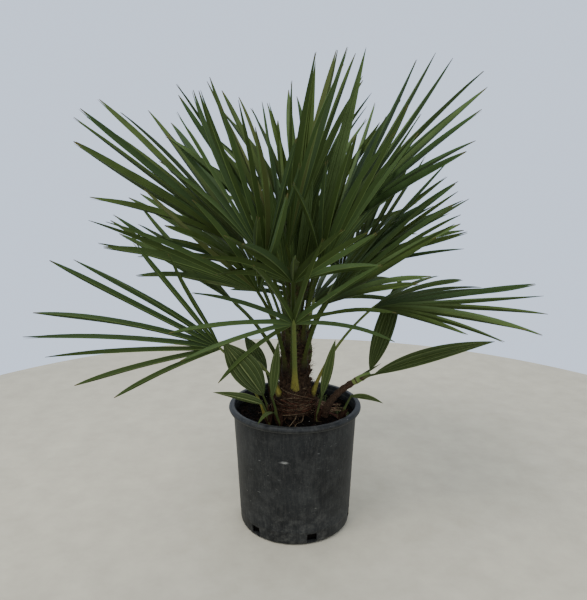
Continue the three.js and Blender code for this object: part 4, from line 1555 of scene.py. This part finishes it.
@dataclass
class SideShoots:
    """The undivided leaves of the side shoots and the right-hand shoot's bare stem.

    scales is how many scale leaves stand round a stalk, over scale_span of its way.
    """

    leaves: list[LanceLeaf]
    shop: Workshop
    stem_at: Point = (48.0, -26.0)
    stem_bend: float = 226.0
    stem_tip: Point = (106.0, -30.0, 259.0)
    stem_radii: tuple[float, float] = (8.0, 6.0)
    stem_steps: int = 30
    scales: int = 11
    scale_span: tuple[float, float] = (0.02, 0.34)
    scale_sizes: tuple[float, float] = (11.0, 21.0)
    scale_offset: float = 2.2
    scars: int = 9

    def build(self) -> None:
        """Builds the blades by their number of pleats, then the stalks, the scales and the stem."""
        for pleats in (1, 2, 3):
            lines = LineSet()
            chosen = [leaf for leaf in self.leaves if leaf.pleats == pleats]
            for index, leaf in enumerate(chosen):
                leaf.draw_blade(lines, float(index % 2))
            section = blade_profile(f"lance_section_{pleats}", pleats, 0.03, 0.05)
            nodes = [leaf.name for leaf in chosen]
            self.shop.sweep(f"shoot_blades_{pleats}", lines, section, YOUNG_GREENS, Slot.YOUNG_LEAF, nodes)
        stalks = LineSet()
        for leaf in self.leaves:
            leaf.petiole().draw(stalks)
        section = round_profile("young_stalk_section", 10, 0.6, 0.9)
        self.shop.sweep("shoot_petioles", stalks, section, [YOUNG_PETIOLE], Slot.YOUNG_LEAF)
        self.build_scales()
        self.build_stem()

    def build_scales(self) -> None:
        """Sets torn brown scale leaves round the foot of each young stalk in the soil."""
        points = LineSet()
        chance = random.Random(53)
        for leaf in self.leaves:
            if len(leaf.at) == 3:
                continue
            stalk = leaf.petiole()
            for index in range(self.scales):
                share = chance.uniform(*self.scale_span)
                out = pointing(index * GOLDEN_TURN + chance.uniform(-20, 20), 0)
                aim = (stalk.heading(share) + out * chance.uniform(0.05, 0.4)).normalized()
                root = stalk.place(share) + out * self.scale_offset
                points.add([root], aim=aim, size=chance.uniform(*self.scale_sizes) * MM, tone=0.0)
        shape = spike("scale_shape", 5, 0.12, [
            (0, -0.15, 1), (0.02, 0.2, 1.1), (0.03, 0.5, 0.9), (0.07, 0.8, 0.55), (0.13, 1, 0.1),
        ])
        self.shop.place("shoot_scales", points, shape, SCALE_LEAF, Slot.STEM)

    def stem_place(self, share: float) -> Vector:
        """Gives the stem's middle at a share of its way, which starts just under the soil."""
        foot, bend = (Vector((*self.stem_at, z)) for z in (TRUNK.foot - 6, self.stem_bend))
        return bowed(foot, bend, Vector(self.stem_tip), share)

    def build_stem(self) -> None:
        """Builds the scaly stem and the pale sheath round its tip."""
        stem, sheath = LineSet(), LineSet()
        rows = []
        for step in range(self.stem_steps + 1):
            share = step / self.stem_steps
            heading = (self.stem_place(share + 0.01) - self.stem_place(share - 0.01)).normalized()
            scale = 0.35 * abs(math.sin(share * self.scars * math.pi)) ** 3
            radius = self.stem_radii[0] + (self.stem_radii[1] - self.stem_radii[0]) * share
            half = 0.76 * radius + 3.4 * scale
            rows.append((self.stem_place(share), half, UP.cross(heading).normalized(), 0.5))
        stem.trace(rows, tone=0.0)
        lower, upper, tip = (rows[back][0] for back in (-5, -3, -1))
        lead = (tip - upper).normalized()
        tube = [lower, upper, *(tip + lead * past for past in (2, 10, 17))]
        girth, alongs = (4.6, 5.6, 5.4, 4.2, 2.2), (0.0, 0.1, 0.3, 0.6, 0.9)
        level = rows[-1][2]
        sheath.trace([(p, half, level, along) for p, half, along in zip(tube, girth, alongs)], tone=0.0)
        section = round_profile("stem_section", 16, 1.0, 1.0)
        self.shop.sweep("shoot_stem", stem, section, [STEM_BARK], Slot.STEM, ["shoot_stem_right"])
        self.shop.sweep("shoot_sheath", sheath, section, [SHEATH_SKIN], Slot.YOUNG_LEAF)


@dataclass
class PottingSoil:
    """Dark potting mix that fills the pot, with chips, grit, moss and fine roots on top.

    The surface is flat to flat_radius, heaped at the trunk's foot and falls to the wall. What is
    strewn on it keeps out of clear_radius, and roots end at root_reach. A patch of moss is its
    place and its size.
    """

    shop: Workshop
    low: float = 3.3
    edge_radius: float = 98.8
    edge_height: float = 189.2
    top: float = 192.0
    flat_radius: float = 42.0
    heap: float = 9.5
    heap_radius: float = 37.0
    heap_fall: float = 15.0
    lump_height: float = 2.4
    roots: int = 64
    stout_roots: int = 26
    rings: int = 44
    columns: int = 132
    clear_radius: float = 34.0
    root_reach: float = 92.0
    root_steps: int = 14
    stout_turns: tuple[float, float] = (-24.0, 24.0)
    front_turns: tuple[float, float] = (215.0, 320.0)
    moss_right: tuple[float, float, float] = (70.0, -12.0, 16.0)
    moss_behind: tuple[float, float, float] = (40.0, 52.0, 20.0)

    def height_at(self, x: float, y: float) -> float:
        """Gives the height of the lumpy surface at a place.

        Args:
            x: How far the place is to the right.
            y: How far it is to the back.

        Returns:
            The height.
        """
        out = math.hypot(x, y)
        fall = max(0.0, out - self.flat_radius) / (self.edge_radius - self.flat_radius)
        heap = self.heap * math.exp(-((max(0.0, out - self.heap_radius) / self.heap_fall) ** 2))
        lumps = self.lump_height * noise.fractal(Vector((x, y, 4.0)) * 0.07, 0.8, 2.2, 5)
        return self.top - 3 * fall + heap + lumps * min(1.0, (self.edge_radius - out) / 8 + 0.25)

    def build(self) -> None:
        """Builds the body of soil and all that lies on it."""
        foot = ((84.0, self.low), (90.6, self.low + 9), (self.edge_radius, self.edge_height - 4))
        rings = [level_ring(lambda _: radius, height, self.columns) for radius, height in foot]
        for step in range(self.rings):
            radius = self.edge_radius * (1 - step / self.rings)
            flat = level_ring(lambda _: radius, 0.0, self.columns)
            rings.append([(x, y, self.height_at(x, y)) for x, y, _ in flat])
        soil = link_object("soil_mix", ring_mesh("soil_mix", rings, ends=True))
        smooth(soil.data, 60)
        soil.data.materials.append(POTTING_MIX.build())
        hand_over(soil, ["soil"])
        self.build_cover(soil)
        self.build_roots()

    def on_top(self, p: Vector) -> float:
        """Says whether a place lies on the open surface, clear of the trunk and the wall."""
        out = math.hypot(p.x, p.y)
        return float(p.z > self.edge_height - 5 and self.clear_radius < out < self.edge_radius - 4)

    def moss_cover(self, p: Vector) -> float:
        """Gives the share of moss at a place: a patch on the right and one behind.

        Args:
            p: The place.

        Returns:
            The share of the moss's density.
        """
        right, behind = (
            math.hypot(p.x - x, p.y - y) / size for x, y, size in (self.moss_right, self.moss_behind)
        )
        patch = max(ease(1.6 - right), 0.9 * ease(1.7 - behind))
        return self.on_top(p) * patch * ease(0.6 + 1.6 * noise.noise(p * 0.09))

    def build_cover(self, soil: Object) -> None:
        """Strews chips, crumbs, grit and moss over the surface.

        Args:
            soil: The body of soil, which carries them.
        """
        chip, crumb, sprig = (spike(name, sides, radius, bends) for name, sides, radius, bends in (
            ("chip_shape", 5, 0.42, [(-0.1, -0.25, 0.5), (0, 0.05, 1), (0.12, 0.35, 0.6), (0.1, 0.5, 0.2)]),
            ("crumb_shape", 6, 0.5, [(0, -0.4, 0.5), (0, -0.1, 0.95), (0, 0.25, 0.9), (0, 0.5, 0.45)]),
            ("moss_shape", 4, 0.16, [(0, -0.1, 1), (0.06, 0.4, 1.2), (0.16, 0.8, 0.7), (0.25, 1, 0.1)]),
        ))
        for strewn in (
            Strewn("soil_chips", chip, BARK_CHIP, self.on_top, 26000.0, 11, 0.4, 0.9, (2.5, 7.5)),
            Strewn("soil_crumbs", crumb, PEAT_CRUMB, self.on_top, 60000.0, 12, 0.6, 0.8, (1.2, 4.2)),
            Strewn("soil_grit", crumb, PERLITE, self.on_top, 2200.0, 13, 0.6, 0.8, (0.9, 2.2)),
            Strewn("soil_moss", sprig, MOSS, self.moss_cover, 260000.0, 14, 0.8, 0.5, (1.8, 4.2)),
        ):
            self.shop.strew(soil, strewn, Slot.SOIL)

    def build_roots(self) -> None:
        """Builds fine roots that wander over the surface from the trunk's foot."""
        lines = LineSet()
        chance = random.Random(23)
        for index in range(self.roots):
            stout = index < self.stout_roots
            turn = chance.uniform(0, 360)
            if stout:
                turn = chance.uniform(*self.stout_turns)
            elif chance.random() < 0.4:
                turn = chance.uniform(*self.front_turns)
            radius = TRUNK.face(math.radians(turn), TRUNK.foot) - 4
            rows = []
            length = chance.uniform(36, 58) if stout else chance.uniform(14, 44)
            thick = chance.uniform(0.8, 1.5) if stout else chance.uniform(0.25, 0.6)
            wave, phase = chance.uniform(4, 16) * (0.35 if stout else 1.0), chance.uniform(0, math.tau)
            tone = float(index % 3 == 1) if stout else chance.choices((1.0, 2.0), (2, 3))[0]
            for step in range(self.root_steps + 1):
                share = step / self.root_steps
                out = radius + length * share
                swing = turn + wave * math.sin(phase + share * 4.5)
                spot = pointing(swing, 0) * min(out, self.root_reach)
                hump = 5.0 * (1 - share) ** 2 + 2.2 * math.sin(math.pi * share) * abs(math.sin(phase))
                spot.z = self.height_at(spot.x, spot.y) + thick + hump
                rows.append((spot, thick * (1.15 - 0.75 * share), UP, 0.5))
            lines.trace(rows, tone=tone)
        section = round_profile("root_section", 6, 1.0, 1.0)
        self.shop.sweep("surface_roots", lines, section, (ROOT_RUST, ROOT_PALE, ROOT_DARK), Slot.SOIL)


@dataclass
class FibrousTrunk:
    """The trunk: old leaf bases under matted fibres, with a shaggy mound at its foot.

    The bases stand in a spiral from lowest_base up. Loose fibres start at fibres_from, the
    shorter ones on the petioles at feet_from, and the skirt round the foot ends at skirt_to.
    """

    shop: Workshop
    soil: PottingSoil
    stalks: Object
    columns: int = 150
    rows: int = 120
    bases: int = 26
    broken_bases: int = 84
    base_height: float = 9.0
    base_width: float = 8.0
    base_depth: float = 3.0
    mat_depth: float = 2.2
    wraps: int = 210
    wrap_steps: int = 13
    lowest_base: float = 208.0
    fibres_from: float = 205.0
    feet_from: float = 238.0
    skirt_to: float = 232.0

    def base_level(self, index: int, count: int) -> float:
        """Gives the height of one of a count of leaf bases, which end under the trunk's top."""
        return self.lowest_base + index * (TRUNK.top - self.lowest_base - 4) / count

    def relief(self, angle: float, height: float) -> float:
        """Gives how far the bark stands out at a place on the trunk.

        Args:
            angle: The place's compass angle in radians.
            height: Its height.

        Returns:
            The relief in millimetres.
        """
        out = 0.0
        around = TRUNK.radius_at(height)
        for index in range(self.bases):
            level = self.base_level(index, self.bases)
            gap = angle_from(angle, index * GOLDEN_TURN)
            rise = height - level
            if abs(rise) < 3 * self.base_height:
                steep = self.base_height * (0.45 if rise > 0 else 1.3)
                bump = math.exp(-((gap * around / self.base_width) ** 2) - (rise / steep) ** 2)
                out = max(out, self.base_depth * bump)
        spot = Vector((math.cos(angle) * around, math.sin(angle) * around, height * 0.16))
        mat = noise.fractal(spot * 0.5, 0.75, 2.1, 4)
        lumps = noise.noise(Vector((spot.x, spot.y, height)) * 0.07)
        foot = math.exp(-(((height - TRUNK.foot) / 20) ** 2))
        return out + self.mat_depth * mat + (1.2 + 5.0 * foot) * lumps

    def build(self) -> None:
        """Builds the bark, the broken leaf bases, the loose fibres and the wound roots."""
        rings = []
        for row in range(self.rows + 1):
            height = TRUNK.foot - 5 + (TRUNK.top + 5 - TRUNK.foot) * row / self.rows
            rings.append(level_ring(
                lambda angle: TRUNK.face(angle, height) + self.relief(angle, height), height, self.columns
            ))
        for share in (0.7, 0.35, 0.08):
            dome = TRUNK.top + 3.5 * (1 - share)
            rings.append([(x * share, y * share, dome) for x, y, _ in rings[self.rows]])
        bark = link_object("trunk_bark", ring_mesh("trunk_bark", rings, ends=True))
        smooth(bark.data, 70)
        bark.data.materials.append(FIBRE_MAT.build())
        hand_over(bark, ["trunk"])
        self.build_bases()
        self.build_fibres(bark)
        self.build_wraps()

    def build_bases(self) -> None:
        """Builds the broken ends of old leaf bases that stand out of the fibres."""
        points = LineSet()
        chance = random.Random(41)
        for index in range(self.broken_bases):
            level = self.base_level(index, self.broken_bases)
            out = pointing(index * GOLDEN_TURN, 0)
            root = out * (TRUNK.face(math.radians(index * GOLDEN_TURN), level) - 2) + UP * level
            aim = (out * chance.uniform(0.45, 0.95) + UP).normalized()
            points.add([root], aim=aim, size=chance.uniform(6, 13) * MM, tone=0.0)
        shape = spike("base_shape", 5, 0.24, [
            (0, -0.1, 1), (-0.03, 0.35, 0.95), (0.06, 0.7, 0.75), (0.12, 1, 0.35),
        ])
        self.shop.place("leaf_base_ends", points, shape, DEAD_BASE, Slot.TRUNK)

    def build_fibres(self, bark: Object) -> None:
        """Strews loose fibres over the trunk and a shaggy skirt of longer ones round its foot.

        Args:
            bark: The trunk's mesh, which carries them.
        """
        strand = spike("fibre_shape", 3, 0.022, [
            (0, 0, 1), (0.03, 0.2, 0.95), (0.1, 0.42, 0.85), (0.2, 0.62, 0.7), (0.33, 0.8, 0.5),
            (0.5, 0.95, 0.2),
        ])
        for ground, name, finish, cover, density, seed, stand, spread, sizes, rise in (
            (bark, "trunk_fibres", FIBRE_DARK, lambda p: ease((p.z - self.fibres_from) / 20),
             52000.0, 7, 0.42, 0.9, (7, 17), 0.3),
            (self.stalks, "petiole_fibres", FIBRE_DARK, self.near_feet, 90000.0, 29, 0.4, 0.7, (5, 13), 0.6),
            (bark, "foot_fibres", FIBRE_RED, lambda p: ease((self.skirt_to - p.z) / 20),
             34000.0, 19, 0.4, 1.0, (9, 24), -0.1),
        ):
            strewn = Strewn(name, strand, finish, cover, density, seed, stand, spread, sizes, rise)
            self.shop.strew(ground, strewn, Slot.TRUNK)

    def near_feet(self, p: Vector) -> float:
        """Gives the share of fibres on a petiole: dense at its foot on the trunk, none farther out."""
        out = math.hypot(p.x, p.y) - TRUNK.radius_at(min(p.z, TRUNK.top))
        return ease((17 - out) / 10) if p.z > self.feet_from else 0.0

    def build_wraps(self) -> None:
        """Winds thin roots round the trunk's foot, most in front, and lets them down to the soil."""
        lines = LineSet()
        chance = random.Random(61)
        for index in range(self.wraps):
            start = chance.uniform(210, 330) if index % 2 else chance.uniform(0, 360)
            span = chance.uniform(50, 130) * chance.choice((-1, 1))
            high = TRUNK.foot + chance.uniform(9, 50)
            low = TRUNK.foot + chance.uniform(7.0, 12.0) + 0.35 * (high - TRUNK.foot)
            proud = chance.uniform(1.5, 5.5)
            far = chance.choice((0.0, 0.0, 1.0, 4.0)) + proud
            tone = chance.choices((0, 1, 2), (5, 2.2, 1.8))[0]
            thick = chance.uniform(0.22, 0.55 if tone < 2 else 0.42)
            wave, phase = chance.uniform(0.4, 2.2), chance.uniform(0, math.tau)
            rows = []
            for step in range(self.wrap_steps + 1):
                share = step / self.wrap_steps
                level = high + (low - high) * ease(share) + wave * math.sin(phase + 7 * share)
                level = max(level, TRUNK.foot + 0.2)
                turn = start + span * share
                radius = TRUNK.face(math.radians(turn), level) + proud + (far - proud) * share**2
                radius += wave * math.cos(phase + 5 * share)
                spot = pointing(turn, 0) * radius
                spot.z = max(level, self.soil.height_at(spot.x, spot.y) + thick)
                rows.append((spot, thick * (1.1 - 0.7 * share), UP, 0.5))
            lines.trace(rows, tone=float(tone))
        section = round_profile("wrap_section", 5, 1.0, 1.0)
        self.shop.sweep("foot_roots", lines, section, (ROOT_DARK, ROOT_RED, ROOT_PALE), Slot.TRUNK)


@dataclass
class NurseryPot:
    """The pot: a thin tapered wall with a rolled lip and six drain holes at its foot."""

    rim_radius: float = 110.0
    body_radius: float = 102.5
    foot_radius: float = 93.0
    rim_top: float = 207.0
    lip_height: float = 9.0
    wall: float = 2.4
    floor: float = 3.0
    columns: int = 180
    holes: int = 6
    hole_width: float = 16.0
    hole_low: float = 3.0
    hole_high: float = 19.0
    first_hole: float = 227.0

    def outside(self, height: float) -> float:
        """Gives the wall's outer radius at a height."""
        share = height / (self.rim_top - self.lip_height)
        return self.foot_radius + (self.body_radius - self.foot_radius) * share

    def profile(self) -> list[tuple[float, float]]:
        """Draws the section from the underside up, over the lip and back down inside.

        Returns:
            The radius and height of each point.
        """
        rim, body, foot = self.rim_radius, self.body_radius, self.foot_radius
        low, top = self.rim_top - self.lip_height, self.rim_top
        steps = [(0.5, 0.0), (40.0, 0.0), (foot - 8, 0.0), (foot - 6, 0.4)]
        steps += [(foot - 5.2 + 5.2 * math.sin(a), 5.6 - 5.2 * math.cos(a)) for a in (0.5, 1.0, 1.3)]
        steps += [(self.outside(z), z) for z in (6.0, 9.0, 12.5, 16.0, 19.0, 21.0)]
        steps += [(self.outside(z) + 0.25, z) for z in (22.0, 22.8)]
        steps += [(self.outside(z), z) for z in (23.6, 50, 80, 110, 140, 170, 190, 195)]
        steps += [(body + 0.2, low - 0.6), (body + 1.2, low - 0.2), (rim - 3.4, low)]
        steps += [(rim - 3.4 + 2, low + 0.5), (rim - 0.4, low + 2.2), (rim, low + 4), (rim - 0.2, low + 6)]
        steps += [(rim - 1.3, low + 7.8), (rim - 3.2, top), (body + 0.6, top), (body - 1.2, top - 0.5)]
        rows = (203, 195, 150, 100, 60, 30, 21, 19, 16, 12.5, 9, 6.5, 5)
        steps += [(self.outside(z) - self.wall, z) for z in rows]
        steps += [(foot - self.wall - 4, self.floor + 0.6), (foot - 12, self.floor)]
        return steps + [(40.0, self.floor), (0.5, self.floor)]

    def swayed(self, radius: float, angle: float, height: float) -> float:
        """Gives a radius with the slight unevenness of a blown wall.

        Args:
            radius: The section's radius.
            angle: The place's compass angle in radians.
            height: Its height.

        Returns:
            The radius in millimetres.
        """
        sway = 0.45 * noise.noise(Vector((math.cos(angle), math.sin(angle), height / 130)) * 1.7)
        return radius + sway * min(1.0, radius / 60) * ease(height / 30)

    def build(self) -> None:
        """Builds the turned wall, leaves the drain holes open and closes their edges."""
        mesh = ring_mesh("pot_wall", [
            level_ring(lambda angle: self.swayed(radius, angle, height), height, self.columns)
            for radius, height in self.profile()
        ], ends=True)
        self.open_holes(mesh)
        pot = link_object("pot_wall", mesh)
        smooth(mesh, 35)
        mesh.materials.append(POT_WALL.build())
        hand_over(pot, ["pot"])

    def nearest_hole(self, place: Vector) -> tuple[int, float]:
        """Gives the number of the drain hole nearest to a place, and the degrees from its middle."""
        apart = 360 / self.holes
        turn = math.degrees(math.atan2(place.y, place.x)) - self.first_hole
        return round(turn / apart) % self.holes, turn - apart * round(turn / apart)

    def open_holes(self, mesh: Mesh) -> None:
        """Takes the faces of the drain holes out of both skins and joins the skins round each.

        Args:
            mesh: The pot's mesh.
        """
        work = bmesh.new()
        work.from_mesh(mesh)
        half_angle = math.degrees(self.hole_width / 2 / self.foot_radius)
        gone = []
        for face in work.faces:
            middle = face.calc_center_median() / MM
            out = math.hypot(middle.x, middle.y)
            inside = self.hole_low < middle.z < self.hole_high and out > self.foot_radius - 8
            if inside and abs(self.nearest_hole(middle)[1]) < half_angle:
                gone.append(face)
        bmesh.ops.delete(work, geom=gone, context="FACES")
        for hole in range(self.holes):
            edges = [
                edge for edge in work.edges
                if edge.is_boundary and self.nearest_hole(edge.verts[0].co + edge.verts[1].co)[0] == hole
            ]
            bmesh.ops.bridge_loops(work, edges=edges)
        bmesh.ops.recalc_face_normals(work, faces=work.faces)
        work.to_mesh(mesh)
        work.free()


# The studio


@dataclass
class Studio:
    """A plain pale floor, soft lights and the camera at the picture's place.

    The lights and the floor are in metres: each light is a name, a place, a side and watts.
    """

    camera_at: Point = (-2.4, -920.0, 570.0)
    looks_down: float = 11.6
    lens: float = 34.8
    floor_radii: tuple[float, ...] = (1.15, 0.6, 0.3, 0.01)
    floor_sides: int = 96
    sky: str = "#d6e4fa"
    sky_strength: float = 1.3
    lights: tuple[tuple[str, Point, float, float], ...] = (
        ("key", (-0.9, -1.0, 2.7), 1.1, 64.0),
        ("fill", (0.6, -2.3, 1.2), 2.0, 24.0),
        ("rear", (0.4, 1.7, 2.4), 1.8, 36.0),
    )
    lit_point: Point = (0.0, 0.0, 0.35)

    def build(self) -> None:
        """Builds the floor, the lights and the camera."""
        rings = [level_ring(lambda _: radius / MM, 0.0, self.floor_sides) for radius in self.floor_radii]
        floor = link_object("studio_floor", ring_mesh("studio_floor", rings))
        floor.data.materials.append(FLOOR_PAINT.build())
        world = bpy.data.worlds.new("studio air")
        bpy.context.scene.world = world
        world.use_nodes = True
        world.node_tree.nodes.clear()
        sky = add_node(world.node_tree, "ShaderNodeBackground", {
            "Color": linear(self.sky), "Strength": self.sky_strength,
        })
        add_node(world.node_tree, "ShaderNodeOutputWorld", {"Surface": sky})
        for name, place, size, power in self.lights:
            lamp = bpy.data.lights.new(name, "AREA")
            lamp.shape, lamp.size, lamp.energy = "SQUARE", size, power
            made = link_object(name, lamp)
            made.location = place
            aim = Vector(self.lit_point) - Vector(place)
            made.rotation_euler = aim.to_track_quat("-Z", "Y").to_euler()
        self.camera()

    def camera(self) -> None:
        """Adds the camera at the place fitted to the picture."""
        lens = bpy.data.cameras.new("camera")
        lens.lens = self.lens
        lens.clip_end = 50.0
        made = link_object("camera", lens)
        made.location = Vector(self.camera_at) * MM
        made.rotation_euler = (math.radians(90 - self.looks_down), 0.0, 0.0)
        bpy.context.scene.camera = made


def main() -> None:
    """Builds all pieces in order."""
    logging.basicConfig(level=logging.INFO, format="%(name)s %(message)s")
    shop = Workshop()
    Studio().build()
    NurseryPot().build()
    soil = PottingSoil(shop)
    soil.build()
    crown = Crown(CROWN, shop)
    crown.build()
    FibrousTrunk(shop, soil, crown.stalks).build()
    SideShoots(SHOOTS, shop).build()
    shop.clear()


if __name__ == "__main__":
    main()
